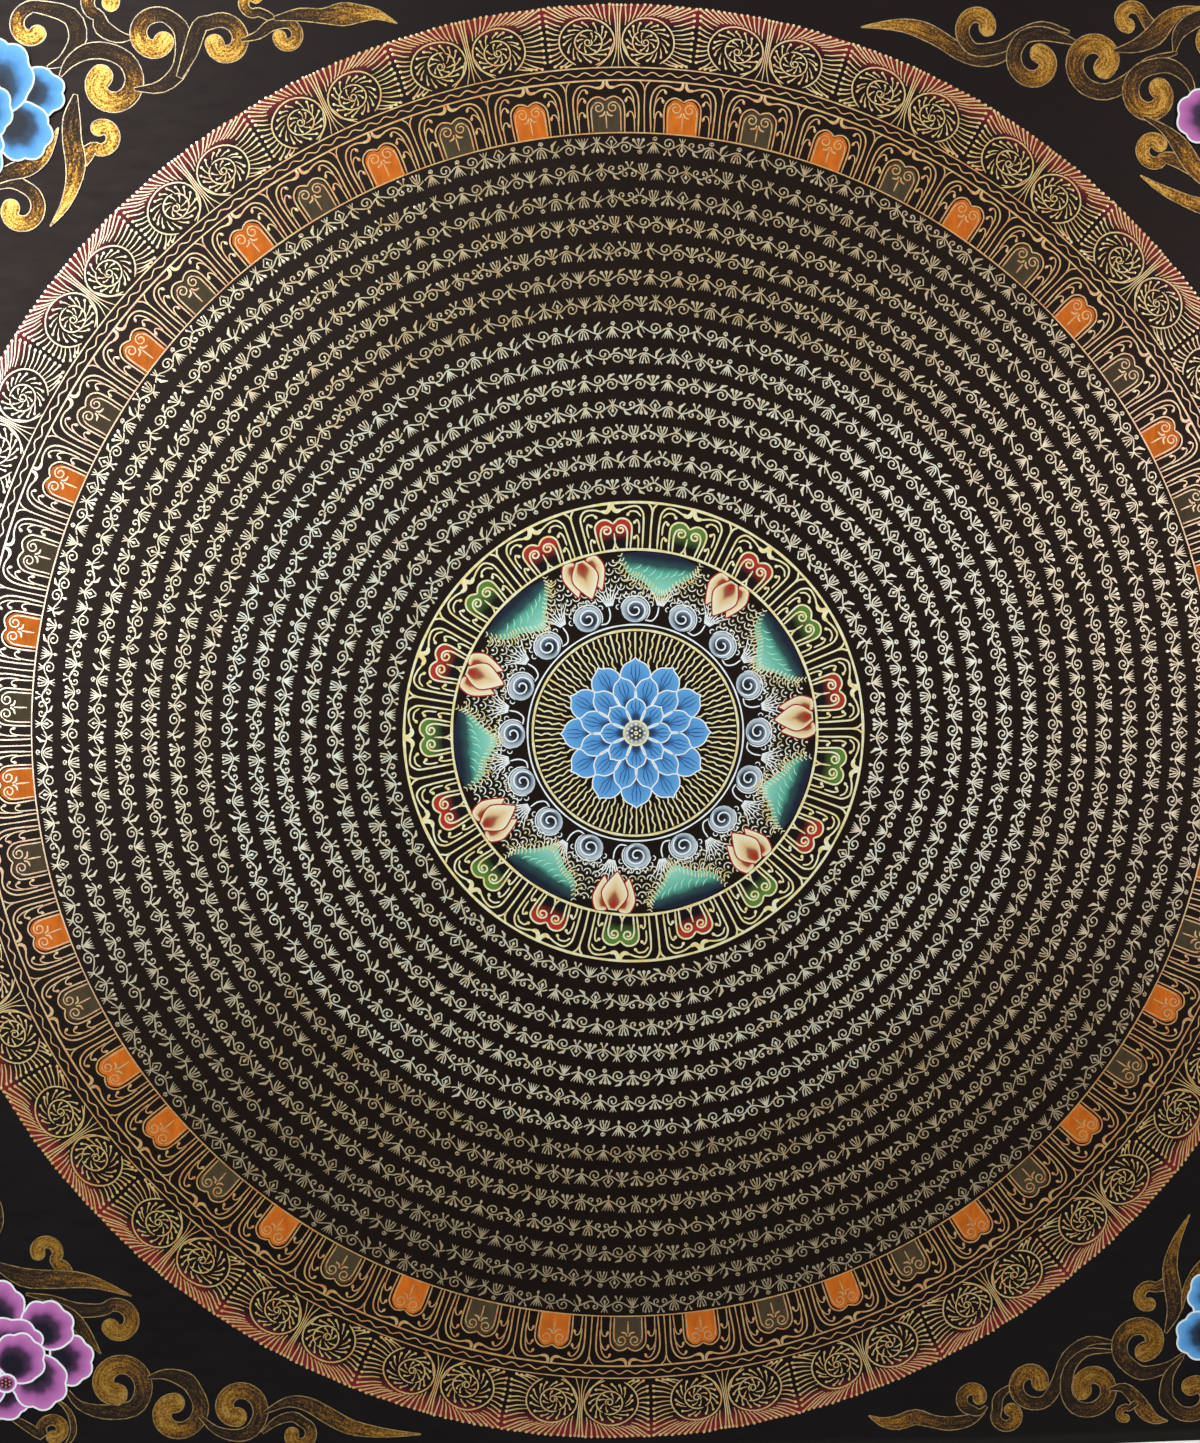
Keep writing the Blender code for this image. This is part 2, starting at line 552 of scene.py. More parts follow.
class Tree(Nodes):
    """A Geometry Nodes group with named inputs."""

    def __init__(self, name, *inputs):
        super().__init__(bpy.data.node_groups.new(name, "GeometryNodeTree"))
        for label, kind in inputs:
            self.tree.interface.new_socket(label, in_out="INPUT", socket_type="NodeSocket" + kind)
        self.tree.interface.new_socket("Geometry", in_out="OUTPUT", socket_type="NodeSocketGeometry")
        self.inputs = self.node("NodeGroupInput")
        self.result = self.tree.nodes.new("NodeGroupOutput").inputs[0]

    def xyz(self, x=0.0, y=0.0, z=0.0):
        return self.node("ShaderNodeCombineXYZ", {"X": x, "Y": y, "Z": z})[0]

    def use(self, other, strokes=None):
        """Runs another tree inside this one, handing on the inputs of the same names."""
        made = self.node("GeometryNodeGroup", node_tree=other)[0]
        for socket in made.node.inputs:
            self.tree.links.new(strokes if socket.name == "Strokes" else self.inputs[socket.name], socket)
        return made

    def plain(self, geometry):
        """Instances as geometry of their own."""
        return self.node("GeometryNodeRealizeInstances", {"Geometry": geometry})[0]

    def copies(self, kind, step=(0, 0, 0), turned=(0, 0, 0)):
        """Count motifs in a row; kind is the number of the motif that each place takes."""
        source = {"Collection": self.inputs["Motifs"], "Separate Children": True}
        line = {"Count": self.inputs["Count"], "Offset": step}
        inputs = {"Points": self.node("GeometryNodeMeshLine", line)[0],
                  "Instance": self.node("GeometryNodeCollectionInfo", source)[0],
                  "Pick Instance": True, "Instance Index": kind, "Rotation": turned}
        return self.plain(self.node("GeometryNodeInstanceOnPoints", inputs)[0])

    def end(self, geometry):
        self.tree.links.new(geometry, self.result)
        return self.tree

    def end_painted(self, geometry):
        """Ends a tree that makes a whole piece."""
        inputs = {"Geometry": self.plain(geometry), "Material": self.inputs["Material"]}
        return self.end(self.node("GeometryNodeSetMaterial", inputs)[0])


# %% The sweep tree
SWEEP_INPUTS = ("Weight", "Float"), ("Rise", "Float")
ROOF_SIDES = 3
ROOF_SPREAD = 1.155          # widens a triangle in a unit circle until its foot is two half-widths


def sweep_tree():
    """Strokes in, closed ridges of paint out. Weight scales every width; Rise is height over half-width."""
    tree = Tree("sweep", ("Strokes", "Geometry"), *SWEEP_INPUTS)
    roof = tree.node("GeometryNodeCurvePrimitiveCircle", {"Resolution": ROOF_SIDES, "Radius": 1.0})[0]
    size = tree.xyz(tree.inputs["Rise"], ROOF_SPREAD, 1.0)
    flat = tree.node("GeometryNodeTransform", {"Geometry": roof, "Scale": size})[0]
    upright = tree.node("GeometryNodeTransform", {"Geometry": flat, "Rotation": (0, 0, math.pi / 2)})[0]
    up = tree.node("GeometryNodeSetCurveNormal", {"Curve": tree.inputs["Strokes"]}, mode="Z_UP")[0]
    width = tree.math("MULTIPLY", tree.node("GeometryNodeInputRadius")[0], tree.inputs["Weight"])
    inputs = {"Curve": up, "Profile Curve": upright, "Scale": width, "Fill Caps": True}
    ridge = tree.node("GeometryNodeCurveToMesh", inputs)[0]
    return tree.end(tree.node("GeometryNodeSetShadeSmooth", {"Geometry": ridge, "Shade Smooth": False})[0])


SWEEP = sweep_tree()
print("made the tree", SWEEP.name)

# %% The wind tree
WIND_INPUTS = (("Motifs", "Collection"), ("Kinds", "Int"), ("Count", "Int"), ("Foot", "Float"),
               ("Measured at", "Float"), ("Start", "Float"), ("Wobble", "Float"), ("Seed", "Int"))
WOBBLE_SIZE = 11 * MM
LEAST, MOST, WHOLE_NUMBER = 4, 5, 2  # a random node's sockets for whole numbers


def wind_tree():
    """Count copies of the motifs, picked at random, on a strip bent round to a ring."""
    tree = Tree("wind", *WIND_INPUTS)
    i = tree.inputs
    limits = {LEAST: 0, MOST: tree.math("SUBTRACT", i["Kinds"], 1.0), "Seed": i["Seed"]}
    kind = tree.node("FunctionNodeRandomValue", limits, data_type="INT")[WHOLE_NUMBER]
    around = tree.math("MULTIPLY", i["Measured at"], 2 * math.pi)
    strip = tree.copies(kind, step=tree.xyz(tree.math("DIVIDE", around, i["Count"])))
    here = tree.node("GeometryNodeInputPosition")[0]
    where = tree.vector("ADD", here, tree.xyz(z=i["Seed"]))
    noise = {"Vector": where, "Scale": 1 / WOBBLE_SIZE, "Detail": 1.0}
    clouds = tree.node("ShaderNodeTexNoise", noise)["Color"]
    centred = tree.vector("SUBTRACT", clouds, (0.5, 0.5, 0.5))
    sway = tree.vector("MULTIPLY", centred, tree.xyz(i["Wobble"], i["Wobble"]))
    part = tree.node("ShaderNodeSeparateXYZ", {0: tree.vector("ADD", here, sway)})
    turned = tree.math("ADD", tree.math("DIVIDE", part["X"], i["Measured at"]), i["Start"])
    radius = tree.math("ADD", part["Y"], i["Foot"])
    x = tree.math("MULTIPLY", radius, tree.math("SINE", turned))
    y = tree.math("MULTIPLY", radius, tree.math("COSINE", turned))
    ringed = {"Geometry": strip, "Position": tree.xyz(x, y, part["Z"])}
    return tree.end(tree.node("GeometryNodeSetPosition", ringed)[0])


WIND = wind_tree()
print("made the tree", WIND.name)

# %% The turn tree
TURN_INPUTS = ("Motifs", "Collection"), ("Count", "Int"), ("Start", "Float")


def turn_tree():
    """Count copies of the motifs turned about the middle, taking each kind in order."""
    tree = Tree("turn", *TURN_INPUTS)
    number = tree.node("GeometryNodeInputIndex")[0]
    step = tree.math("DIVIDE", -2 * math.pi, tree.inputs["Count"])
    angle = tree.math("SUBTRACT", tree.math("MULTIPLY", number, step), tree.inputs["Start"])
    way = tree.node("FunctionNodeEulerToRotation", {0: tree.xyz(z=angle)})[0]
    return tree.end(tree.copies(number, turned=way))


TURN = turn_tree()
print("made the tree", TURN.name)

# %% Whole trees
MATERIAL_INPUT = ("Material", "Material")


def ring_tree(name, inner, inner_inputs, swept=True):
    """A tree that runs wind or turn, sweeps its strokes if they are strokes, and paints the result."""
    tree = Tree(name, *inner_inputs, *(SWEEP_INPUTS if swept else ()), MATERIAL_INPUT)
    shapes = tree.use(inner)
    return tree.end_painted(tree.use(SWEEP, shapes) if swept else shapes)


def drawing_tree():
    """A tree that sweeps the strokes of one drawing."""
    tree = Tree("drawing", ("Drawing", "Object"), *SWEEP_INPUTS, MATERIAL_INPUT)
    strokes = tree.node("GeometryNodeObjectInfo", {"Object": tree.inputs["Drawing"]})["Geometry"]
    return tree.end_painted(tree.use(SWEEP, strokes))


RING_OF_STROKES = ring_tree("ring_of_strokes", WIND, WIND_INPUTS)
ROSETTE_OF_STROKES = ring_tree("rosette_of_strokes", TURN, TURN_INPUTS)
ROSETTE_OF_FIELDS = ring_tree("rosette_of_fields", TURN, TURN_INPUTS, swept=False)
DRAWING = drawing_tree()
print("trees:", [group.name for group in bpy.data.node_groups])

# %% [markdown]
# ## Using the trees
# A motif is kept in a collection of its own that is never linked to the scene, so it isn't shown. The result
# is turned into a plain mesh, laid on the cloth and made to ride with it.

# %% Motifs as objects


def curve_of(name, strokes):
    """One curve object with a spline for each stroke, in metres."""
    curve = bpy.data.curves.new(name, "CURVE")
    curve.dimensions = "3D"
    for points in strokes:
        loops = np.allclose(points[0], points[-1])
        points = points[:-1] if loops else points
        spline = curve.splines.new("POLY")
        spline.use_cyclic_u = loops
        spline.points.add(len(points) - 1)
        height = points[:, 3] if points.shape[1] > 3 else np.zeros(len(points))
        flat = np.column_stack([points[:, :2] * MM, height * MM, np.ones(len(points))])
        spline.points.foreach_set("co", flat.ravel())
        spline.points.foreach_set("radius", points[:, 2] * MM)
    return bpy.data.objects.new(name, curve)


def kept(name, motifs):
    """A collection of motifs that isn't shown. A motif is a list of strokes, or the mesh of a field."""
    keep = bpy.data.collections.new(name)
    for number, motif in enumerate(motifs):
        label = f"{name}_{number}"
        is_field = isinstance(motif, bpy.types.Mesh)
        keep.objects.link(bpy.data.objects.new(label, motif) if is_field else curve_of(label, motif))
    return keep


# %% From motif to painted piece
RISE = 0.3                   # a stroke's height over its half-width


def evaluated(name, tree, values):
    """Runs a tree on an empty mesh and returns the mesh that it makes."""
    host = in_scene(name, bpy.data.meshes.new(name))
    nodes = host.modifiers.new("nodes", "NODES")
    nodes.node_group = tree
    for socket in tree.interface.items_tree:
        if socket.in_out == "INPUT" and socket.name in values:
            nodes[socket.identifier] = values[socket.name]
    graph = bpy.context.evaluated_depsgraph_get()
    made = bpy.data.meshes.new_from_object(host.evaluated_get(graph))
    host.modifiers.remove(nodes)
    bpy.data.objects.remove(host)
    return made


def on_cloth(name, mesh, lift=0.0):
    """Lays a finished mesh on the cloth, as a piece that rides with it."""
    at = points_of(mesh)
    at[:, 2] += lift
    mesh.vertices.foreach_set("co", at.ravel())
    lay_on_cloth(mesh)
    mesh.name = name
    piece = in_scene(name, mesh)
    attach(piece, "root")
    print(f"{name}: {sum(len(face.vertices) - 2 for face in mesh.polygons)} triangles")


def drawn(name, strokes, material, rise=RISE, lift=0.0, weight=1.0):
    """Strokes that aren't repeated, as one piece."""
    values = {"Drawing": curve_of(name, strokes), "Weight": weight, "Rise": rise, "Material": material}
    on_cloth(name, evaluated(name, DRAWING, values), lift)


def ring_mesh(name, motifs, count, foot, measured_at, start, material, wobble, seed, weight):
    """A flat ring of stroke motifs. Radii are in millimetres and start is in degrees."""
    values = {"Motifs": motifs, "Kinds": len(motifs.objects), "Count": count, "Foot": foot * MM,
              "Measured at": measured_at * MM, "Start": math.radians(start), "Wobble": wobble * MM,
              "Seed": seed, "Weight": weight, "Rise": RISE, "Material": material}
    return evaluated(name, RING_OF_STROKES, values)


def band(name, motifs, *ring, **hand):
    """A ring of stroke motifs, as one piece."""
    on_cloth(name, ring_mesh(name, kept(name, motifs), *ring, **hand))


def rosette(name, motifs, count, start, paint, rise=RISE, lift=0.0):
    """Strokes or fields turned about the mandala's middle, as one piece. Start in degrees."""
    tree = ROSETTE_OF_FIELDS if isinstance(motifs[0], bpy.types.Mesh) else ROSETTE_OF_STROKES
    values = {"Motifs": kept(name, motifs), "Count": count, "Start": math.radians(start), "Weight": 1.0,
              "Rise": rise, "Material": paint}
    on_cloth(name, evaluated(name, tree, values), lift)


# %% [markdown]
# ## Fields of colour
# A field is a patch of flat paint. It is a thin closed solid whose foot is sunk in the cloth, so that no edge
# gapes. A plain field is an outline with a wall. A shaded petal is made of rings that grow from its root to
# its outline, and each ring keeps its share of the way as the shade value that petal paint reads.

# %% Fields of flat colour
FIELD_TOP = 0.02 * MM        # how far a field's face stands off the cloth
EMBEDDED = 0.04 * MM         # how deep its foot is sunk in the cloth


def sine(degrees):
    return math.sin(math.radians(degrees))


def cosine(degrees):
    return math.cos(math.radians(degrees))


def disc(x, y, half_width, half_height, step):
    return [(x + half_width * cosine(a), y + half_height * sine(a)) for a in range(0, 360, step)]


def solid(name, at, faces):
    """A closed mesh of triangles that all face outwards."""
    mesh = bpy.data.meshes.new(name)
    mesh.from_pydata(at, [], faces)
    shape = bmesh.new()
    shape.from_mesh(mesh)
    bmesh.ops.recalc_face_normals(shape, faces=shape.faces)
    bmesh.ops.triangulate(shape, faces=shape.faces[:])
    shape.to_mesh(mesh)
    shape.free()
    return mesh


def shade_points(mesh, shade):
    mesh.attributes.new("shade", "FLOAT", "POINT").data.foreach_set("value", shade)


def field(name, outline):
    """A thin closed solid of paint inside an outline in millimetres."""
    count = len(outline)
    at = [(x * MM, y * MM, z) for z in (FIELD_TOP, -EMBEDDED) for x, y in outline]
    sides = [(k, (k + 1) % count, (k + 1) % count + count, k + count) for k in range(count)]
    return solid(name, at, [tuple(range(count)), tuple(range(2 * count - 1, count - 1, -1))] + sides)


def arched_field(name, left):
    """A field whose outline is given for its left side, from its foot to its notch."""
    return field(name, flowing(left + [(-x, y) for x, y in reversed(left)], 3))


# %% Shaded petals
PETAL_RINGS = (0.3, 0.55, 0.78, 1.0)


def shaded_petal(name, outline, root, top=FIELD_TOP, rings=PETAL_RINGS):
    """A petal as rings that grow from its root to its outline, with a shade value from 0 to 1."""
    outline, root = np.asarray(outline, float), np.asarray(root, float)
    count = len(outline)
    at, shade = [(*root * MM, top)], [0.0]
    for ring in rings:
        at += [(*(root + (point - root) * ring) * MM, top) for point in outline]
        shade += [ring] * count
    at += [(*point * MM, -EMBEDDED) for point in outline] + [(*root * MM, -EMBEDDED)]
    shade += [1.0] * count + [0.0]
    turns = [(k, (k + 1) % count) for k in range(count)]
    faces = [(0, 1 + a, 1 + b) for a, b in turns]
    for ring in range(len(rings)):
        here = 1 + ring * count
        faces += [(here + a, here + count + a, here + count + b, here + b) for a, b in turns]
    last = 1 + len(rings) * count
    faces += [(last + a, len(at) - 1, last + b) for a, b in turns]
    mesh = solid(name, at, faces)
    shade_points(mesh, shade)
    return mesh


# %% Copies of a field


def scattered(name, motif, foot, measured_at, angles, paint):
    """Copies of a field at given angles on a ring, as one piece. Degrees clockwise from the top."""
    flat = points_of(motif)
    copies = []
    for angle in angles:
        turn = math.radians(angle) + flat[:, 0] / (measured_at * MM)
        radius = flat[:, 1] + foot * MM
        copies.append(np.stack([radius * np.sin(turn), radius * np.cos(turn), flat[:, 2]], 1))
    faces = [tuple(face.vertices) for face in motif.polygons]
    every = [tuple(v + k * len(flat) for v in face) for k in range(len(angles)) for face in faces]
    mesh = solid(name, np.vstack(copies), every)
    mesh.materials.append(paint)
    on_cloth(name, mesh)


print("a test field:", len(field("test", disc(0, 0, 1, 1, 30)).polygons), "triangles")

# %% [markdown]
# ## The petal band
# Fifty-one modules stand on the circle round the field. Each has a brace-shaped arch, a forked stem at its
# side, three curling tendrils a side and a tab with a notched top. In the tab, two volutes face each other
# over a sprig. A painter pounces one stencil round the circle. In the same way, one half of a module is drawn
# here and mirrored, and the wind tree repeats it with a little wobble.

# %% The petal module
PETALS = 51
PETAL_MIDDLE = 212.6         # radius at which the module's widths are true
FIRST_PETAL = -122.3         # degrees clockwise from the top


def half_petal():
    """The left half of a module, which is mirrored for the right."""
    brace = flowing([(-10.9, 0), (-11.1, 9.6), (-10.2, 13.7), (-8.1, 15.7), (-5.4, 15.9), (-3.1, 15.2),
                     (-1.6, 15.1)])
    tip = flowing([(-3.3, 15.2), (-1.6, 15.1), (-0.7, 16.0), (-0.6, 17.3)])
    top = flowing([(-9.6, 9.3), (-9.1, 12.2), (-7.9, 14.2), (-6.7, 14.6), (-6.2, 13.8)])
    middle = flowing([(-9.9, 4.8), (-9.6, 9.0), (-8.5, 11.4), (-7.4, 11.8), (-6.9, 10.7)])
    bottom = flowing([(-9.7, 0), (-9.5, 4.8), (-8.8, 6.8), (-7.8, 7.0), (-7.3, 5.9)])
    lobe = flowing([(-6.3, 0), (-6.3, 8.2), (-5.2, 10.9), (-3.1, 12.1), (-1.2, 11.7), (0, 10.9)])
    side = flowing([(-5.0, 0), (-5.0, 7.2), (-4.2, 9.4)])
    volute = np.vstack([side, arc((-2.4, 8.5), ((2.0, 0.6), (2.0, 0.6)), 155, -470, 14)])
    sprig = flowing([(-0.3, 7.3), (-0.9, 6.0), (-2.5, 5.6)], 3)
    lines = [stroke(brace, 0.8), stroke(tip, 1.1, swell=1.5), stroke(lobe, 0.75), stroke(volute, 0.65)]
    curls = [stroke(curl, 0.62, drop=1.45) for curl in (top, middle, bottom)]
    return lines + curls + [stroke(sprig, 0.7, swell=1.3)]


def petal_module():
    """Both halves, with the forked stem at the left edge and the sprig's twig in the middle."""
    half = half_petal()
    side = math.pi * PETAL_MIDDLE / PETALS
    stem = even(flowing([(-side, 0), (-side - 0.1, 8), (-side, 14.4)]))
    twig = stroke([(0, 6.2), (0, 4.0), (0.05, 1.5)], 0.8)
    prongs = [flowing([(-side, 13.6), (-side + s * 0.5, 15.8), (-side + s * 1.7, 17.3)]) for s in (-1, 1)]
    return half + mirrored(half) + [stem, twig] + [stroke(prong) for prong in prongs]


band("petal_lines", [petal_module()], PETALS, PETAL_FOOT, PETAL_MIDDLE, FIRST_PETAL, BAND_GOLD,
     wobble=0.7, seed=4, weight=0.66)

# %% [markdown]
# Flat orange and brown fill the tabs by turns. The copies of a tab stand at angles that are worked out here
# and not in a tree, because each has to lie exactly inside the volutes of its own module.

# %% Tabs of colour under the petals
TAB_LEFT = [(-5.5, 0.1), (-5.5, 7.8), (-4.9, 9.8), (-3.2, 11.4), (-1.4, 11.3), (-0.4, 10.6)]
for name, first, paint in (("orange_tabs", 0, TAB_ORANGE), ("brown_tabs", 1, TAB_BROWN)):
    angles = [FIRST_PETAL + 360 / PETALS * k for k in range(first, PETALS, 2)]
    scattered(name, arched_field("tab", TAB_LEFT), PETAL_FOOT, PETAL_MIDDLE, angles, paint)

# %% [markdown]
# ## The wheel band
# Between the wavy line and the rim, twenty-nine pairs of wheels turn away from each other. A fountain of
# strokes rises between the two, breaks over them and falls at their sides, and every stroke ends in a drop.
# One function draws the spray over a left wheel. The right one is its mirror image, a little smaller. Three
# such modules, each with its own slips of the hand, are enough to hide the repeat.

# %% One wheel
WHEEL_PAIRS = 29
WHEEL_MIDDLE = 236.4
FIRST_WHEELS = -38.3
RIM_DROPS = 20.6             # height of the row of drops that makes the rim
WHEEL_RISE = 8.6             # height of the wheels' middles
LEFT_WHEEL = (-10.6, 9.3, 7.9)   # middle and radii across and up
RIGHT_WHEEL = (-10.3, 8.9, 7.8)  # drawn as a left one and mirrored
OFF_CENTRE = 0.9             # how far the left half reaches short of its share, and the right half past it


def wheel(x, rx, ry, hand):
    """A left wheel: outline, swirling spokes, inner circle, spokes again and a curl."""
    centre = np.array([x, WHEEL_RISE])
    inner = centre + (0.7 + hand.uniform(-0.3, 0.3), -0.2 + hand.uniform(-0.3, 0.3))
    core = inner + (hand.uniform(-0.4, 0.2), hand.uniform(-0.4, 0.2))
    lines = [stroke(arc(centre, ((rx * 1.03, rx), (ry * 1.03, ry)), 242, -316, 24), 0.66),
             stroke(arc(inner, ((4.7, 4.5), (4.0, 4.1)), 60, -352, 16), 0.62),
             stroke(arc(core, ((1.6, 0.6), (1.5, 0.6)), 40, -460, 10), 0.55)]
    spokes = (16, centre, 0.55, 0.83, 26, 1.12), (8, inner, 0.2, 0.4, 30, 0.9)
    for count, middle, near, far, swirl, drop in spokes:
        for k in range(count):
            turn = 360 / count * (k + hand.uniform(-0.18, 0.18))
            way = [turn, turn + swirl * 0.6, turn + swirl]
            out = [near, near + (far - near) * 0.55, far + hand.uniform(-0.03, 0.03)]
            spoke = [middle + (rx * r * cosine(a), ry * r * sine(a)) for a, r in zip(way, out)]
            lines.append(stroke(spoke, 0.52, drop=drop, grow=0.7))
    return lines


# %% The spray over a wheel


def spray(x, rx, ry, edge, hand):
    """The strokes that break over a left wheel and fall to the module's edge."""
    rim = [(-2.6 - (edge - 3.3) * k / 11, RIM_DROPS) for k in range(12)]
    side = [(-edge + 1.1, RIM_DROPS - 2.1 - 1.95 * k) for k in range(9)]
    foot = [(-edge + 2.4 + 1.9 * k, 1.0 - 0.1 * k) for k in range(3)]
    lines = []
    for goals, first, last in ((rim, 24, 118), (side, 124, 206), (foot, 214, 236)):
        for k, goal in enumerate(goals):
            turn = first + (last - first) * (k / (len(goals) - 1)) ** 0.85
            root = np.array([x + rx * cosine(turn), WHEEL_RISE + ry * sine(turn)])
            goal = np.array(goal) + (hand.uniform(-0.2, 0.2), hand.uniform(-0.15, 0.25))
            bow = (goal - root)[::-1] * (-0.05, 0.05)
            line = [root, (root + goal) / 2 + bow, goal]
            lines.append(stroke(line, 0.54, drop=1.25, start=0.6, grow=1.0))
    return lines


# %% The wheel module


def wheel_module(seed):
    hand = random.Random(seed)
    half = math.pi * WHEEL_MIDDLE / WHEEL_PAIRS
    left = wheel(*LEFT_WHEEL, hand) + spray(*LEFT_WHEEL, half - OFF_CENTRE, hand)
    right = wheel(*RIGHT_WHEEL, hand) + spray(*RIGHT_WHEEL, half + OFF_CENTRE, hand)
    jet = []
    for k in (-1, 0, 1):
        rise = [(k * 2.6, 0.1), (k * 0.85, 5.0), (k * 0.62, 11.0), (k * 0.8, 16.0), (k * 1.3, RIM_DROPS)]
        jet.append(stroke(flowing(rise, 3), 0.5, drop=1.25, grow=0.5))
    spill = [stroke(flowing([(-7.6, 0.2), (-3.9, 3.2), (-1.7, 8.0)], 3), 0.5)]
    return left + mirrored(right) + jet + spill + mirrored(spill)


WHEELS = [wheel_module(seed) for seed in (1, 2, 3)]
band("wheel_strokes", WHEELS, WHEEL_PAIRS, WHEEL_FOOT, WHEEL_MIDDLE, FIRST_WHEELS, WHEEL_GOLD,
     wobble=0.9, seed=7, weight=0.77)

# %% [markdown]
# Circles part the bands. Each is one long stroke that wanders a little, as a compass line does when a brush
# goes over it, and one runs in small waves. A torus would be too even. Under the drops of the rim lies a flat
# ring of dull red paint.

# %% The circles between the bands
WAVY = 223.6
circles = [circle(WHEEL_FOOT, 0.6, seed=1), circle(PETAL_TOP, 0.8, seed=2), circle(PETAL_FOOT, 0.62, seed=3),
           circle(WAVY, 0.55, waves=242, height=0.62, steps=1452, seed=4)]
drawn("band_circles", circles, BAND_GOLD, weight=0.72)

# %% The red rim
RED_INSIDE, RED_OUTSIDE = 238.6, 246.7


def ring_field(name, inner, outer, paint, steps=200):
    """A flat ring of paint between two radii."""
    turn = np.linspace(0, 2 * math.pi, steps, endpoint=False)
    way = np.stack([np.sin(turn), np.cos(turn)], 1) * MM
    loops = (inner, -EMBEDDED), (outer, -EMBEDDED), (outer, FIELD_TOP), (inner, FIELD_TOP)
    at = [(x, y, z) for radius, z in loops for x, y in way * radius]
    faces = []
    for ring in range(len(loops)):
        a, b = ring * steps, (ring + 1) % len(loops) * steps
        faces += [(a + k, a + (k + 1) % steps, b + (k + 1) % steps, b + k) for k in range(steps)]
    mesh = solid(name, at, faces)
    mesh.materials.append(paint)
    on_cloth(name, mesh)


ring_field("red_rim", RED_INSIDE, RED_OUTSIDE, RIM_RED)

# %% [markdown]
# ## The heart's ring
# The same family of arches comes back small around the middle, seventeen of them, drawn thicker and paler.
# Their heads are red or green at the top and run out to black below, as if the colour had been wiped
# downwards. The wipe is in their paint, which fades with the radius, so the fields themselves stay plain.

# %% The heart's ring
ARCHES = 17
ARCH_MIDDLE = 68.9
FIRST_ARCH = -175.3
ARCH_LINE = 0.74


def arch_module():
    """One arch with its stem. Both halves come from the strokes of the left one."""
    brace = flowing([(-10.0, 0.2), (-10.1, 10.6), (-9.4, 13.4), (-7.8, 14.8), (-5.2, 14.5), (-3.2, 13.7),
                     (-1.8, 13.5)])
    tip = flowing([(-3.0, 13.7), (-1.6, 13.3), (-0.6, 14.3), (-0.4, 15.9)])
    top = flowing([(-9.2, 11.4), (-7.9, 12.9), (-6.0, 13.1), (-5.1, 12.1)])
    middle = flowing([(-8.7, 5.4), (-8.7, 8.6), (-8.0, 10.2), (-7.2, 9.4)])
    bottom = flowing([(-8.4, 0.3), (-8.5, 3.4), (-7.9, 4.8), (-7.1, 4.0)])
    head = flowing([(-5.5, 0.2), (-6.2, 6.9), (-5.7, 9.3), (-4.0, 10.6), (-1.9, 10.6), (0, 9.1)])
    side = flowing([(-4.1, 0.2), (-4.6, 5.4), (-4.3, 7.2)])
    volute = np.vstack([side, arc((-2.4, 6.9), ((1.9, 0.5), (1.8, 0.5)), 160, -480, 15)])
    root = flowing([(0, 2.6), (-0.3, 1.4), (-1.1, 0.2)])
    curls = [stroke(curl, 0.66, drop=1.3) for curl in (top, middle, bottom)]
    lines = [stroke(line, ARCH_LINE) for line in (brace, head, volute, root)]
    half = curls + lines + [stroke(tip, 1.2, swell=1.5)]
    edge = math.pi * ARCH_MIDDLE / ARCHES
    stem = even([(-edge, 0), (-edge - 0.1, 7), (-edge, 13.4)], ARCH_LINE)
    prongs = [flowing([(-edge, 12.6), (-edge + s * 0.4, 14.4), (-edge + s * 1.5, 15.9)]) for s in (-1, 1)]
    twig = [(0, 5.8), (0, 3.9), (0, 2.2)]
    return half + mirrored(half) + [stem] + [stroke(line, ARCH_LINE) for line in [twig] + prongs]


band("arch_lines", [arch_module()], ARCHES, HEART_FOOT, ARCH_MIDDLE, FIRST_ARCH, HEART_GOLD,
     wobble=0.6, seed=11, weight=0.84)
heart_circles = [circle(HEART_FOOT, 0.85, seed=6, steps=160), circle(HEART_TOP, 0.85, seed=7, steps=180)]
drawn("heart_circles", heart_circles, HEART_GOLD)

# %% The coloured heads
GREEN_ONES = (0, 2, 4, 6, 9, 11, 13, 15)
HEAD_LEFT = [(-5.4, 0.3), (-6.0, 6.9), (-5.5, 9.2), (-4.0, 10.4), (-2.0, 10.4), (-0.3, 9.2)]
for name, wanted, paint in (("green_heads", True, HEAD_GREEN), ("red_heads", False, HEAD_RED)):
    angles = [FIRST_ARCH + 360 / ARCHES * k for k in range(ARCHES) if (k in GREEN_ONES) == wanted]
    scattered(name, arched_field("head", HEAD_LEFT), HEART_FOOT, ARCH_MIDDLE, angles, paint)

# %% [markdown]
# ## The rows between the bands
# Fourteen rows of fine work fill the field. Here each is a running vine: a waved stem with a motif inside
# every bend and another outside it. Seven motifs for the inside and five for the outside make eight kinds of
# wave, and each row takes these in its own random order, so that no repeat shows.

# %% The vine's parts
BEND = 4.8                   # length of half a wave, in millimetres
CREST = 0.95                 # height of the wave
FINE = 0.52                  # width of the row's strokes


def stem_line():
    x = np.linspace(0, 1, 6)
    return even(np.stack([x * BEND, CREST * np.sin(np.pi * x)], 1), FINE)


def fan(count, foot, spread, tips, width=FINE, swell=1.0, drop=0.0):
    """Strokes that open from one foot to tips at a height, above the stem or below it."""
    x, y = foot
    blades = [[(x + 0.2 * s, y), (x + s * spread * 0.5, (y + tips) / 2), (x + s * spread, tips)]
              for s in np.linspace(-1, 1, count)]
    return [stroke(blade, width, drop, swell) for blade in blades]


def spiral(x, y, radius, start, sweep, steps):
    radii = radius, radius * 0.25
    return stroke(arc((x, y), (radii, radii), start, sweep, steps), FINE, drop=0.9)


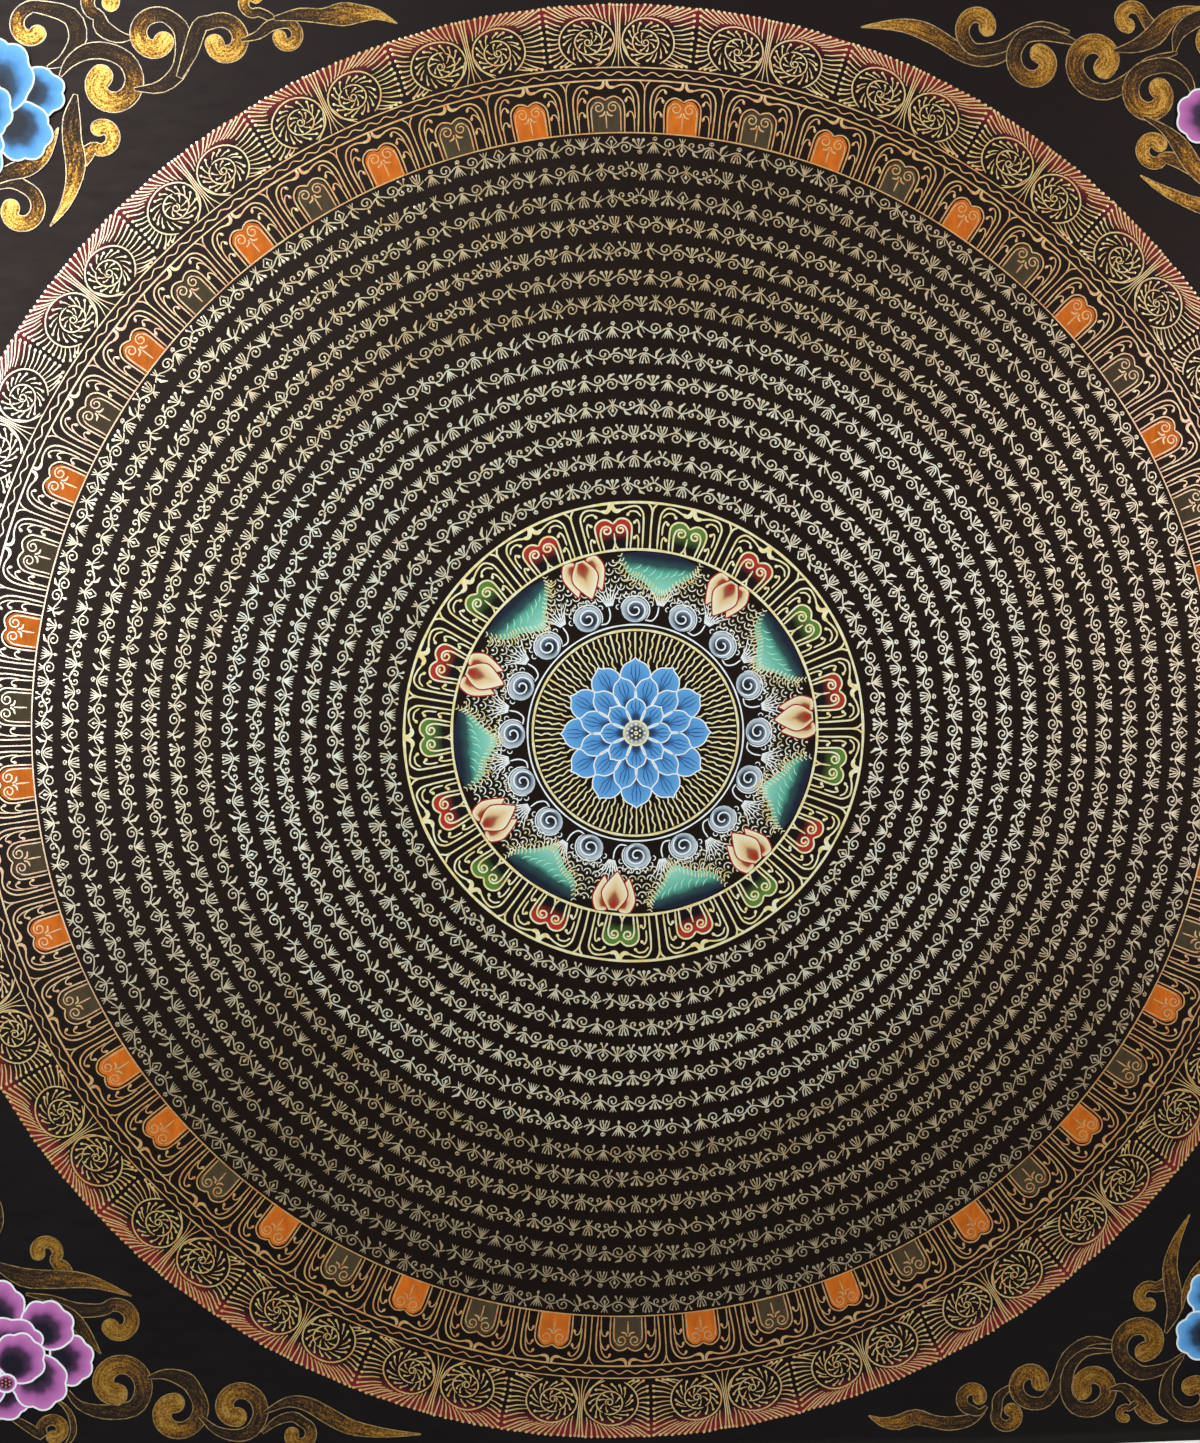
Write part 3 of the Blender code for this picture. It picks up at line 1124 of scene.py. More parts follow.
def bell():
    cup = flowing([(0.7, -2.6), (1.2, -0.5), (2.4, 0.4), (3.6, -0.5), (4.1, -2.6)], 2)
    return [stroke(cup, 0.56)] + fan(2, (2.4, 0.0), 0.7, -2.3, 0.5, drop=0.9)


def bud():
    sides = [[(2.4, 0.8), (2.4 + s * 1.7, -0.9), (2.4 + s * 0.2, -2.9)] for s in (-1, 1)]
    heart = stroke([(2.4, 1.0), (2.4, -1.0)], 0.5, drop=1.2)
    return [stroke(side, 0.55, finish=1) for side in sides] + [heart]


INSIDE = {"curl": [spiral(2.5, -0.75, 2.05, 75, -430, 13)],
          "palmette": fan(5, (2.4, 0.7), 2.2, -2.5, 0.44, 1.3),
          "bud": bud(),
          "twins": [spiral(1.25, -0.95, 1.35, 75, 330, 9), spiral(3.65, -0.95, 1.35, 105, -330, 9)],
          "bell": bell(),
          "berries": fan(3, (2.4, 0.8), 1.7, -1.7, 0.5, drop=1.35),
          "leaf": [stroke([(1.4, 0.8), (1.6, -1.2), (3.2, -2.7)], 0.95, swell=1.4),
                   stroke([(2.6, 0.8), (3.9, -1.0)], FINE)]}
OUTSIDE = {"prongs": fan(3, (2.4, 1.1), 1.2, 2.9),
           "fork": fan(2, (2.4, 1.1), 0.9, 2.7, drop=0.95),
           "hook": [spiral(2.9, 2.0, 0.95, 200, -330, 7)],
           "lean": [stroke([(1.5, 1.0), (2.1, 2.1), (3.6, 2.7)], 0.85, swell=1.4)],
           "dot": [stroke([(2.4, 1.0), (2.4, 2.3)], 0.5, drop=1.2)]}


# %% Kinds of wave


def half_wave(inside, outside, length):
    """The stem's rise and fall with a motif inside the bend and one outside it, stretched to a length."""
    return [s * (length / BEND, 1.02, 1) for s in [stem_line()] + INSIDE[inside] + OUTSIDE[outside]]


def vine_wave(upper, lower, share):
    first, second = share * 2 * BEND, (1 - share) * 2 * BEND
    return moved(half_wave(*upper, first), -first, 0) + [s * (1, -1, 1) for s in half_wave(*lower, second)]


WAVES = ((("curl", "prongs"), ("palmette", "dot"), 0.52), (("palmette", "hook"), ("curl", "fork"), 0.47),
         (("bud", "prongs"), ("twins", "lean"), 0.46), (("twins", "fork"), ("bell", "prongs"), 0.53),
         (("leaf", "prongs"), ("curl", "dot"), 0.45), (("curl", "lean"), ("berries", "hook"), 0.54),
         (("bell", "hook"), ("leaf", "prongs"), 0.5), (("berries", "prongs"), ("bud", "fork"), 0.48))
vine_kinds = [vine_wave(*wave) for wave in WAVES]
print("vine wave:", [sum(len(s) for s in kind) for kind in vine_kinds], "points")

# %% The rows
# the gold of each row, from the inside out, and the weight of its strokes
ROW_FINISHES = [(INNER_ROW_GOLD, 0.86)] * 5 + [(MIDDLE_ROW_GOLD, 0.78)] * 5 + [(OUTER_ROW_GOLD, 0.78)] * 4
ROW_TURN = 37                # degrees from the start of one row to the start of the next


def joined(meshes):
    whole = bmesh.new()
    for mesh in meshes:
        whole.from_mesh(mesh)
    result = bpy.data.meshes.new("joined")
    whole.to_mesh(result)
    whole.free()
    for material in meshes[0].materials:
        result.materials.append(material)
    return result


vine = kept("vine", vine_kinds)
rows = []
for row in range(ROWS):
    radius = FIRST_ROW + ROW_STEP * row
    waves = round(2 * math.pi * radius / (2 * BEND))
    paint, weight = ROW_FINISHES[row]
    rows.append(ring_mesh("row", vine, waves, radius, radius, ROW_TURN * row, paint, 0.9, 20 + row, weight))
# in three pieces, because one mesh of all the rows would be too heavy to handle
for name, first, last in (("inner_rows", 0, 7), ("middle_rows", 7, 11), ("outer_rows", 11, ROWS)):
    on_cloth(name, joined(rows[first:last]))

# %% [markdown]
# ## The heart
# The middle is a rosette in the painting's own colours. It is made from the inside out: a seed head
# and three rings of blue petals, a halo of rays, scales, clouds, plumes, and hills with lotus cups at
# the edge. Everything turns about one point, so each part is drawn once, standing upright, and the
# turn tree sets its copies.

# %% The blue lotus
LAYER = 0.04 * MM            # each ring of petals lies this much above the one outside it
LOTUS_BELLY = 0.6            # where a petal is widest, as a share of its length
# count, start, foot, tip, half-width and height in layers of each ring of petals
LOTUS = {"outer": (12, 0, 12.0, 26.0, 5.2, 1), "middle": (12, 15, 7.0, 20.2, 3.9, 2),
         "inner": (8, 0, 3.0, 12.6, 3.4, 3)}
VEIN = (0.5, 0.42), (1.5, 0.62), (1.2, 0.84)  # how far aside, and the share of the petal's length


def leaf_shape(foot, tip, half_width, belly):
    """A pointed petal on the upward axis, from its foot to its tip, anticlockwise."""
    length = tip - foot
    right = [(half_width * 0.35, foot), (half_width * 0.85, foot + length * belly * 0.55),
             (half_width, foot + length * belly), (half_width * 0.72, foot + length * (belly + 0.22)),
             (half_width * 0.2, tip - length * 0.07)]
    line = flowing(right + [(0, tip)])
    return np.vstack([line, (line * (-1, 1))[-2::-1]])


for name, (count, start, foot, tip, half, layer) in LOTUS.items():
    top = FIELD_TOP + layer * LAYER
    shape = leaf_shape(foot, tip, half, LOTUS_BELLY)
    rosette(f"lotus_{name}", [shaded_petal("petal", shape, (0, foot + 0.5), top)], count, start, LOTUS_BLUE)
    rosette(f"lotus_{name}_edges", [[even(shape, 0.44)]], count, start, WHITE_LINE, rise=0.1, lift=top)
    veins = [stroke([(s * x, foot + (tip - foot) * share) for x, share in VEIN], 0.28) for s in (-1, 0, 1)]
    rosette(f"lotus_{name}_veins", [veins], count, start, NAVY_LINE, rise=0.1, lift=top)

# %% [markdown]
# The seed head is a dark disc with two rings of gold seeds, each one short stroke that is all drop. The halo
# is of a hundred fine rays, straight and waved by turns, which run under the tips of the petals.

# %% The seed head
HEAD_TOP = FIELD_TOP + 4 * LAYER
HEAD_SIZE = 4.1
head_disc = disc(0, 0, HEAD_SIZE, HEAD_SIZE, 15)
rosette("seed_head", [shaded_petal("disc", head_disc, (0, 0), HEAD_TOP)], 1, 0, SMOKE)
for name, radius, count in (("outer", 3.0, 12), ("inner", 1.6, 6)):
    dot = [stroke([(0, radius - 0.3), (0, radius)], 0.3, drop=0.85)]
    rosette(f"seed_dots_{name}", [dot], count, 0, HEART_GOLD, lift=HEAD_TOP)
head_circles = [circle(4.2, 0.6, wander=0.03, steps=60), circle(0.5, 0.5, wander=0.0, steps=16)]
drawn("seed_circles", head_circles, HEART_GOLD, lift=HEAD_TOP)

# %% The halo of rays
HALO_FOOT, HALO_TOP = 25.0, 34.8
RAYS = 100
straight_ray = [stroke([(0, HALO_FOOT), (0, 30.0), (0, HALO_TOP)], 0.62, start=0.4, finish=1)]
wave_x = [0.36 * math.sin(k * 1.9) for k in range(12)]
wave_y = np.linspace(HALO_FOOT - 3.0, HALO_TOP, 12)
waved_ray = [stroke(np.stack([wave_x, wave_y], 1), 0.54, start=0.4, finish=1)]
rosette("halo_rays", [straight_ray, waved_ray], RAYS, 0, HEART_GOLD, rise=0.14)
inner_circle = circle(35.5, 0.8, seed=3, wander=0.06, steps=120)
outer_circle = circle(37.3, 0.55, seed=5, wander=0.06, steps=120)
drawn("halo_circles", [inner_circle], HEART_GOLD)
drawn("halo_outer_circle", [outer_circle], WHITE_LINE)

# %% [markdown]
# Painters leave no plain black in the middle. Rings of small scales fill it first. Nearer the halo come smoky
# discs of cloud, each with a white curl and a frill, and white plumes stand between them over the scales.

# %% Scales that fill the black
SCALES = 100
SCALE_ROWS = (48.4, 51.2, 54.0, 56.8, 59.6)


def scale_ring(radius):
    """One scale of a ring and the little bead inside it."""
    wide = math.pi * radius / SCALES * 0.84
    shell = stroke(arc((0, radius), (wide, 1.7), 190, 160, 7), 0.38)
    return [shell, stroke([(0, radius - 0.5), (0, radius + 0.35)], 0.85, start=0.7, finish=0.7)]


for number, radius in enumerate(SCALE_ROWS):
    turned = number % 2 * 180 / SCALES
    rosette(f"scales_{number}", [scale_ring(radius)], SCALES, turned, SCALE_GOLD, rise=0.4)

# %% Clouds and plumes
CLOUDS = 16
CLOUD_RING = 42.4
CLOUD_TOP = FIELD_TOP + LAYER
cloud = shaded_petal("cloud", disc(0, CLOUD_RING, 4.7, 4.3, 20), (0.6, CLOUD_RING - 1.4), CLOUD_TOP)
rosette("cloud_fields", [cloud], CLOUDS, 0, SMOKE)
curl = stroke(arc((0.0, CLOUD_RING), ((3.9, 0.7), (3.7, 0.7)), -75, 560, 22), 0.55)
wrap = stroke(arc((0.1, CLOUD_RING), (5.0, 4.8), -40, 215, 12), 0.42)
tail = stroke(flowing([(3.4, 38.9), (5.8, 38.6), (7.6, 40.6), (8.2, 43.4)]), 0.5)
frill = [stroke(arc((5.8 * sine(a), CLOUD_RING + 5.5 * cosine(a)), (0.8, 0.8), 200 - a, -200, 5), 0.36)
         for a in range(-80, 71, 25)]
rosette("cloud_scrolls", [[curl, wrap, tail] + frill], CLOUDS, 0, WHITE_LINE, rise=0.4, lift=CLOUD_TOP)
hairs = [stroke([(s * 0.3, 44.5), (s * 0.9, 48.0), (s * 1.9, 52.6 - abs(s) * 0.6)], 0.42, start=1, finish=0.3)
         for s in range(-3, 4)]
rosette("plumes", [hairs], CLOUDS, 180 / CLOUDS, WHITE_LINE, rise=0.5, lift=LAYER)

# %% [markdown]
# A hill is a shaded field too, but its shade has to run from the crest down and not from its middle
# out, so the value is written over by height. Blades of gold grass stand along the crest, two to each
# point of its outline.

# %% Hills and grass
HILLS = 7
FIRST_HILL = 8
HILL_TOP = FIELD_TOP + 3 * LAYER
HILL_CREST, HILL_FOOT = 47.5, 62.0
HILL_HALF = 14.0
crest = flowing([(-HILL_HALF, 59.8), (-11.5, 55.6), (-8.4, 53.0), (-5.6, 52.4), (-2.4, 50.4), (1.0, 47.9),
                 (3.4, 48.2), (6.4, 51.4), (9.8, 54.0), (12.4, 56.4), (HILL_HALF, 59.6)], 3)
hill_outline = np.vstack([crest, [(8.0, 61.7), (0, 62.4), (-8.0, 61.7)]])
hill = shaded_petal("hill", hill_outline, (1.0, 57.0), HILL_TOP)
height = (points_of(hill)[:, 1] / MM - HILL_CREST) / (HILL_FOOT - HILL_CREST)
hill.attributes["shade"].data.foreach_set("value", np.clip(1.15 - 1.1 * height, 0, 1))
rosette("green_hills", [hill], HILLS, FIRST_HILL, GREEN_HILL)
blades = []
for k, foot in enumerate(crest[1:-1], 1):
    lean = 58 * foot[0] / HILL_HALF
    for drop, reach in ((0.3, 2.6 + 0.7 * (k % 3)), (2.2, 2.1)):
        x, y = foot + (0.2 * drop, drop)
        bend = (x + 0.25 * reach * sine(lean), y - 0.5 * reach)
        tip = (x + 0.9 * reach * sine(lean), y - 0.9 * reach * cosine(lean))
        blades.append(stroke([(x, y), bend, tip], 0.4, start=0.9, finish=0.3))
rosette("grass", [blades], HILLS, FIRST_HILL, HEART_GOLD, lift=HILL_TOP)


def slope_light(x):
    """A pale stroke down the slope of a hill."""
    out = abs(x)
    line = [(x, 52.9 + out * 0.35), (x + 1.6, 54.2 + out * 0.3), (x + 2.4, 56.2 + out * 0.2)]
    return stroke(line, 0.4, start=0.3, finish=0.2)


lights = [slope_light(-8.0 + 2.5 * k) for k in range(7)]
rosette("hill_lights", [lights], HILLS, FIRST_HILL, HILL_LIGHT, rise=0.3, lift=HILL_TOP)

# %% [markdown]
# Between the hills stand cream lotus cups of three petals, red at the root and edged with red. The two side
# petals are the middle one made slimmer, set aside and cut off level at the foot.

# %% The lotus cups
CUP_START = FIRST_HILL + 180 / HILLS
CUP_FOOT = 62.3
cup = leaf_shape(61.8, 48.2, -4.6, 0.45)  # it points inwards; a half-width below 0 keeps it anticlockwise
cup_sides = [np.minimum(cup * (0.72, 1) + (s * 4.2, 1.8), (99, CUP_FOOT)) for s in (-1, 1)]
for k, (side, root) in enumerate(zip(cup_sides, ((-2.8, 60.0), (2.8, 60.0)))):
    rosette(f"cup_side_{k}", [shaded_petal("cup", side, root, HILL_TOP)], HILLS, CUP_START, CREAM_PETAL)
middle_petal = shaded_petal("cup", cup, (0, 60.8), HILL_TOP + LAYER)
rosette("cup_middle", [middle_petal], HILLS, CUP_START, CREAM_PETAL)
side_edges = [even(side, 0.46) for side in cup_sides]
rosette("cup_side_edges", [side_edges], HILLS, CUP_START, CUP_RED, rise=0.1, lift=HILL_TOP)
rosette("cup_edges", [[even(cup, 0.46)]], HILLS, CUP_START, CUP_RED, rise=0.2, lift=HILL_TOP + LAYER)

# %% [markdown]
# ## The corners
# Each corner holds a peony and two arms of cloud scroll. A scroll is one ribbon of paint: a thin brown wash
# in its tail that thickens to stippled gold in its curled head, with a fine gold line round it. A stroke
# carries no shade, so scrolls get a mesh of their own. The corners were squared up on a grid first, so they
# are drawn here in grid steps, 1480 of them across the cloth.

# %% Ribbons of paint
GRID = CLOTH / MM / 1480     # one grid step in millimetres
STREAKED = 0.14              # streaks of the brush run this much slower along a scroll than across it
RIBBON_RIDGE = 0.01 * MM     # a ribbon is this much higher along its middle
# the ridge takes a little more gold than the edges and the sides a little less: a painted highlight along the
# middle and painted shade on the sides
SHADE_ACROSS = (0.9, 0.95, 0.9, 0.8, 0.8)  # left edge, ridge, right edge and the two feet
# added to the shade along each ribbon's middle only: a painted highlight on its ridge
RIDGE_PAINTED_HIGHLIGHT = (0, 0.14, 0, 0, 0)


def ribbon_mesh(name, stations, top):
    """A closed strip through (x, y, half-width, shade) stations, and the stroke that runs round it."""
    at = stations[:, :2]
    way = np.gradient(at, axis=0)
    way /= np.linalg.norm(way, axis=1)[:, None]
    side = np.stack([-way[:, 1], way[:, 0]], 1) * stations[:, 2:3]
    left, right = at + side, at - side
    count = len(at)
    loops = (left, top), (at, top + RIBBON_RIDGE), (right, top), (right, -EMBEDDED), (left, -EMBEDDED)
    corners = [(*points[k] * MM, z) for k in range(count) for points, z in loops]
    faces = [tuple(range(5)), tuple(range(count * 5 - 1, count * 5 - 6, -1))]
    for first in range(0, count * 5 - 5, 5):
        faces += [(first + a, first + (a + 1) % 5, first + 5 + (a + 1) % 5, first + 5 + a) for a in range(5)]
    mesh = solid(name, corners, faces)
    # the shade of each station across the ribbon, with the painted highlight along its ridge
    shade_points(mesh, (np.outer(stations[:, 3], SHADE_ACROSS) + RIDGE_PAINTED_HIGHLIGHT).ravel())
    travelled = np.cumsum(np.linalg.norm(np.diff(at, axis=0, prepend=at[:1]), axis=1))
    across = np.outer(stations[:, 2], (1, 0, -1, -1, 1))
    along = np.repeat(travelled[:, None] * STREAKED, 5, 1)
    brush = np.stack([across, along, np.full(across.shape, top / MM * 40)], 2)
    mesh.attributes.new("brush", "FLOAT_VECTOR", "POINT").data.foreach_set("vector", (brush * MM).ravel())
    return mesh, raised(closed(np.vstack([left, right[::-1]]), 0.34), top / MM)


# %% Heads, tails and leaves


def head(x, y, size, enter, sweep, arch=0.0, neck=0.2):
    """Stations of a scroll's curled head: middle, radius, the angles it enters at and sweeps through."""
    f = np.linspace(0, 1, 9)
    turn = np.radians(enter + sweep * f)
    out = size * (0.68 - 0.30 * f**2) + (max(arch, size * 0.7) - size * 0.68) * (1 - f) ** 3
    half = size * (0.28 + 0.10 * f)
    shade = np.clip(neck + 0.95 * f, 0, 0.82)
    curl = np.stack([x + out * np.cos(turn), y + out * np.sin(turn), half, shade], 1)
    way = curl[-1, :2] - curl[-2, :2]
    way /= np.linalg.norm(way)
    rounding = (0.5, 0.86), (0.85, 0.5), (0.98, 0.1)
    end = [(*(curl[-1, :2] + way * half[-1] * a), half[-1] * w, 1.0) for a, w in rounding]
    return [tuple(row) for row in curl] + end


def tail(*points, shade=0.14):
    return [(x, y, half, shade) for x, y, half in points]


def leaf(*points, first=0.15, last=1.0):
    """A flame-shaped tip: brown wash at its foot, gold towards its point."""
    ramp = np.linspace(0, 1, len(points)) ** 1.2
    return [(x, y, half, first + (last - first) * r) for (x, y, half), r in zip(points, ramp)]


print("a scroll's head:", len(head(0, 0, 20, 0, 270)), "stations")

# %% [markdown]
# Each entry is one scroll, placed over the grid: the stations of its tail and then its curled head, or
# a leaf that ends in a point. The far ends of the arms that run up the sides aren't listed, because they are
# the ends of the arms along the top and the foot, seen in the corner's diagonal.

# %% The scrolls of each corner
TOP_LEFT = [
    tail((-563, 648, 1.5), (-546, 656, 6), (-534, 676, 8.5), (-541, 697, 8.5))
    + head(-577, 686, 21, 75, 235, 20),
    tail((-482, 677, 1.5), (-496, 678, 6), (-510, 686, 8)) + head(-510, 711, 21, -105, -265),
    tail((-551, 640, 1.5), (-542, 653, 5), (-526, 663, 7.5)) + head(-504, 633, 29, 95, -315, 31),
    tail((-481, 628, 1.5), (-455, 631, 6), (-436, 650, 8), (-434, 682, 8)) + head(-460, 679, 25, 55, 270, 22),
    tail((-438, 640, 3), (-427, 664, 7), (-418, 688, 7.5)) + head(-395, 675, 24, 128, -290, 22),
    tail((-344, 690, 2), (-350, 698, 4)) + head(-366, 712, 15, -60, -240),
    tail((-378, 676, 1.5), (-362, 681, 4), (-350, 690, 5.5)) + head(-335, 681, 17, 100, -265),
    leaf((-346, 697, 2), (-322, 701, 6), (-300, 700, 7), (-280, 702, 11), (-262, 703, 8), (-246, 702, 4.5),
         (-228, 694, 0.5)),
    tail((-542, 553, 4), (-533, 560, 8), shade=0.6) + head(-514, 583, 20, -122, 225, neck=0.6),
    leaf((-537, 622, 2), (-541, 600, 8), (-541, 578, 9), (-538, 557, 9.5), (-541, 536, 7), (-550, 514, 4),
         (-563, 496, 0.5)),
    tail((-632, 528, 3), (-618, 536, 7), (-602, 540, 8)) + head(-592, 511, 22, 85, -280, 24),
    leaf((-625, 534, 3), (-603, 546, 7), (-585, 552, 9), (-570, 562, 7), (-560, 577, 3.5), (-554, 590, 0.5)),
]
TOP_RIGHT = [
    leaf((395, 686, 3), (368, 672, 8), (348, 668, 8), (328, 674, 8), (310, 685, 8), (292, 694, 8.5),
         (272, 699, 6.5), (250, 699, 3.5), (229, 697, 0.5), first=0.1),
    tail((438, 695, 1.5), (412, 701, 4), (390, 692, 6), (370, 680, 6)) + head(347, 698, 22, -95, -265, 22),
    tail((449, 683, 1.5), (430, 689, 5), (410, 693, 7)) + head(404, 665, 25, 115, 310, 27),
    tail((548, 676, 1.5), (520, 667, 4.5), (498, 647, 7.5)) + head(466, 667, 28, -72, -330, 32),
    tail((526, 688, 2), (521, 701, 6), shade=0.4) + head(501, 708, 19, 15, 225, neck=0.45),
    leaf((484, 677, 1.5), (506, 682, 6.5), (524, 692, 10), (536, 706, 9), (550, 716, 5.5), (572, 720, 1.5),
         (590, 718, 0.5)),
    tail((566, 632, 1.5), (559, 650, 5), (543, 662, 7)) + head(522, 634, 27, 80, 320, 29),
    tail((588, 538, 2), (572, 556, 7), (556, 567, 8), shade=0.45) + head(525, 580, 20, -35, -280, neck=0.5),
    leaf((514, 612, 1.5), (534, 601, 4), (550, 586, 8), (563, 567, 9), (578, 549, 6), (592, 538, 0.5)),
    leaf((612, 515, 5), (592, 519, 8), (573, 524, 7.5), (556, 530, 6), (540, 537, 5), (525, 545, 3),
         (511, 554, 0.5), first=0.5),
    tail((545, 677, 1.5), (549, 694, 6), (562, 706, 8)) + head(586, 690, 24, 105, -300, 24),
]
BOTTOM_LEFT = [
    tail((-566, -535, 4), (-572, -525, 7), shade=0.6) + head(-590, -508, 18, -40, 225, neck=0.6),
    leaf((-640, -518, 3), (-612, -532, 9), (-586, -535, 9), (-561, -536, 8), (-538, -541, 5),
         (-507, -554, 0.5), last=0.75),
    tail((-609, -549, 1), (-585, -555, 4), (-562, -566, 7)) + head(-521, -580, 22, 140, -285, 20),
    leaf((-586, -556, 1.5), (-566, -572, 6), (-553, -590, 6), (-538, -611, 0.5), first=0.1, last=0.4),
    tail((-573, -645, 1.5), (-560, -662, 4), (-536, -670, 7)) + head(-521, -642, 29, -62, 320, 29),
    tail((-492, -637, 1.5), (-475, -634, 5), (-456, -640, 8)) + head(-465, -673, 26, 52, -315, 29),
    tail((-442, -677, 1.5), (-426, -692, 4), (-406, -698, 6)) + head(-404, -670, 25, -60, 325, 27),
    leaf((-378, -676, 1.5), (-355, -666, 5), (-335, -669, 7), (-315, -681, 8), (-294, -693, 7.5),
         (-270, -699, 5.5), (-246, -702, 3), (-223, -703.5, 0.5), last=0.9),
    tail((-380, -696, 1.5), (-366, -685, 4), (-350, -681, 5)) + head(-344, -699, 18, 70, -255),
    tail((-634, -667, 1.5), (-614, -680, 4)) + head(-586, -687, 17, 200, -290),
    leaf((-585, -653, 0.5), (-570, -668, 2.5), (-566, -690, 3), (-578, -708, 0.5), first=0.4, last=0.2),
]
BOTTOM_RIGHT = [
    leaf((353, -703, 2), (338, -711, 6), (318, -714, 7), (300, -711, 6.5), (282, -706, 8), (264, -711, 7.5),
         (248, -710, 4.5), (234, -703, 0.5)),
    tail((356, -697, 1.5), (349, -703, 3.5)) + head(342, -688, 18, -100, -260),
    tail((385, -674, 1.5), (369, -687, 5)) + head(378, -707, 18, 150, 270),
    tail((488, -633, 1.5), (462, -631, 5), (441, -647, 7), (431, -672, 7))
    + head(403, -674, 23, -50, -305, 24),
    tail((486, -642, 1.5), (459, -643, 4), (442, -660, 6), (440, -684, 7))
    + head(465, -681, 26, -130, 320, 25),
    tail((561, -647, 1.5), (545, -660, 5), (522, -666, 7)) + head(517, -634, 27, 255, -325, 29),
    tail((553, -581, 4), (545, -573, 7), shade=0.4) + head(525, -587, 18, 60, 205, neck=0.5),
    leaf((542, -624, 1.5), (551, -600, 7.5), (549, -578, 8.5), (546, -556, 7.5), (550, -535, 5),
         (557, -518, 3), (566, -501, 0.5)),
    leaf((559, -600, 0.5), (562, -582, 3), (572, -565, 6), (586, -552, 8), (604, -540, 6), (622, -524, 0.5),
         first=0.5, last=0.8),
    leaf((484, -682, 1.5), (499, -681, 5), (512, -693, 7), (521, -706, 8), (532, -715, 5), (545, -717, 0.5)),
    tail((512, -697, 3)) + head(501, -709, 11, 60, 210),
    tail((560, -650, 1.5), (546, -668, 5), (543, -688, 7)) + head(572, -690, 25, 195, 275, 27),
]


print("scrolls:", [len(corner) for corner in (TOP_LEFT, TOP_RIGHT, BOTTOM_LEFT, BOTTOM_RIGHT)])

# %% The scrolls as paint
SCROLL_STEP = 0.022 * MM     # each scroll lies this much above the one before it
THINNEST = 0.05              # a ribbon's least half-width, in millimetres
ARM_ENDS = 455               # grid steps from the middle; scrolls further out belong to the corner itself


def swapped(stations):
    """A scroll seen in the corner's diagonal, for the arm that runs up the side."""
    first = stations[0]
    sign = 1 if first[0] * first[1] > 0 else -1
    return [(sign * y, sign * x, half, shade) for x, y, half, shade in stations]


def outer_arm(corner):
    """The part of an arm that lies towards the middle of its side."""
    return [scroll for scroll in corner if min(abs(point[0]) for point in scroll) < ARM_ENDS]


fields, outlines = [], []
# how much of the gold's full shade each corner gets: less towards the bottom right, as painted shade that
# follows the light
for corner, painted_falloff in ((TOP_LEFT, 1.0), (TOP_RIGHT, 0.95), (BOTTOM_LEFT, 0.92), (BOTTOM_RIGHT, 0.8)):
    for number, scroll in enumerate(corner + [swapped(scroll) for scroll in outer_arm(corner)]):
        placed = flowing(np.array(scroll) * (GRID, GRID, GRID, painted_falloff), 3)
        placed[:, 2] = np.maximum(placed[:, 2], THINNEST)
        mesh, outline = ribbon_mesh("scroll", placed, FIELD_TOP + number * SCROLL_STEP)
        mesh.materials.append(SCROLL_GOLD)
        fields.append(mesh)
        outlines.append(outline)
on_cloth("corner_scrolls", joined(fields))
drawn("scroll_outlines", outlines, SCROLL_LINE, rise=0.04)

# %% [markdown]
# ## The peonies
# A peony is a heap of broad petals with scalloped tops, laid from the back to the front. Each is shaded from
# a dark root to a pale edge and outlined in white. The petals are listed one by one, because a flower that is
# made by turning one petal looks stamped.

# %% A broad petal
PETAL_STEP = 0.03            # each petal lies this much above the last, in millimetres
FLOWER_FOOT = 0.4            # the first one lies on the scrolls
BROAD_RINGS = (0.4, 0.6, 0.8, 1.0)


def blossom_petal(x, y, angle, length, width, hand):
    """A broad petal with a scalloped top: its outline, and the point that its shading grows from."""
    turn = np.radians(np.linspace(-150, 150, 46))
    waves = np.abs(np.sin(turn * 3.6 + hand.uniform(-0.6, 0.6))) - 0.6
    scallop = 1 + 0.13 * waves * np.clip(np.cos(turn) + 0.25, 0, 1) ** 0.5
    along = length * (0.52 + 0.48 * np.cos(turn) * scallop)
    across = width * np.sin(turn) * scallop
    c, s = cosine(angle), sine(angle)
    outline = np.stack([x + along * c - across * s, y + along * s + across * c], 1)
    return outline, np.array([x, y]) + 0.2 * length * np.array([c, s])


def peony(middle, petals, hand):
    """Fields and white edges of one flower, outer petals first."""
    fields, edges = [], []
    for number, petal in enumerate(petals):
        outline, root = blossom_petal(*petal, hand)
        outline, root = (outline + middle) * GRID, (root + middle) * GRID
        height = FLOWER_FOOT + PETAL_STEP * number
        fields.append(shaded_petal("petal", outline, root, FIELD_TOP + height * MM, BROAD_RINGS))
        edges.append(raised(closed(outline, 0.64), height + FIELD_TOP / MM))
    return fields, edges


def outer_petals(*angles):
    return [(18 * cosine(a), 18 * sine(a), a, 60, 29) for a in angles]


print("outer petals of a flower start at", [round(value, 1) for value in outer_petals(100)[0][:2]])

# %% The four peonies
# root x, root y, angle it points at, length and half-width of each petal, in grid steps, back petals first
BLUE_TOP = outer_petals(100, 145, 190, 235) + [
    (-5, -15, 272, 60, 27), (25, 14, 2, 58, 24), (18, -1, -41, 60, 28), (5, -8, 68, 76, 33),
    (12, -6, 172, 50, 28), (-2, -14, -84, 40, 24), (-10, -2, 0, 43, 26), (-12, -2, 128, 36, 22)]
PINK_TOP = outer_petals(290, 335, 20, 65, 110, 240) + [
    (-34, -4, 178, 52, 26), (-8, 14, 140, 58, 29), (-6, -12, 218, 58, 29), (10, 4, 60, 50, 28),
    (8, -8, -40, 50, 28), (8, 0, 180, 42, 26), (-6, 2, 10, 34, 22)]
PINK_FOOT = outer_petals(135, 180, 225) + [
    (-5, -12, -96, 40, 26), (-10, 30, 95, 58, 30), (36, 7, -3, 47, 25), (24, 22, 52, 48, 27),
    (16, 12, -62, 58, 27), (0, 4, 82, 46, 31), (-2, -4, 200, 46, 27), (-8, -8, 42, 50, 26)]
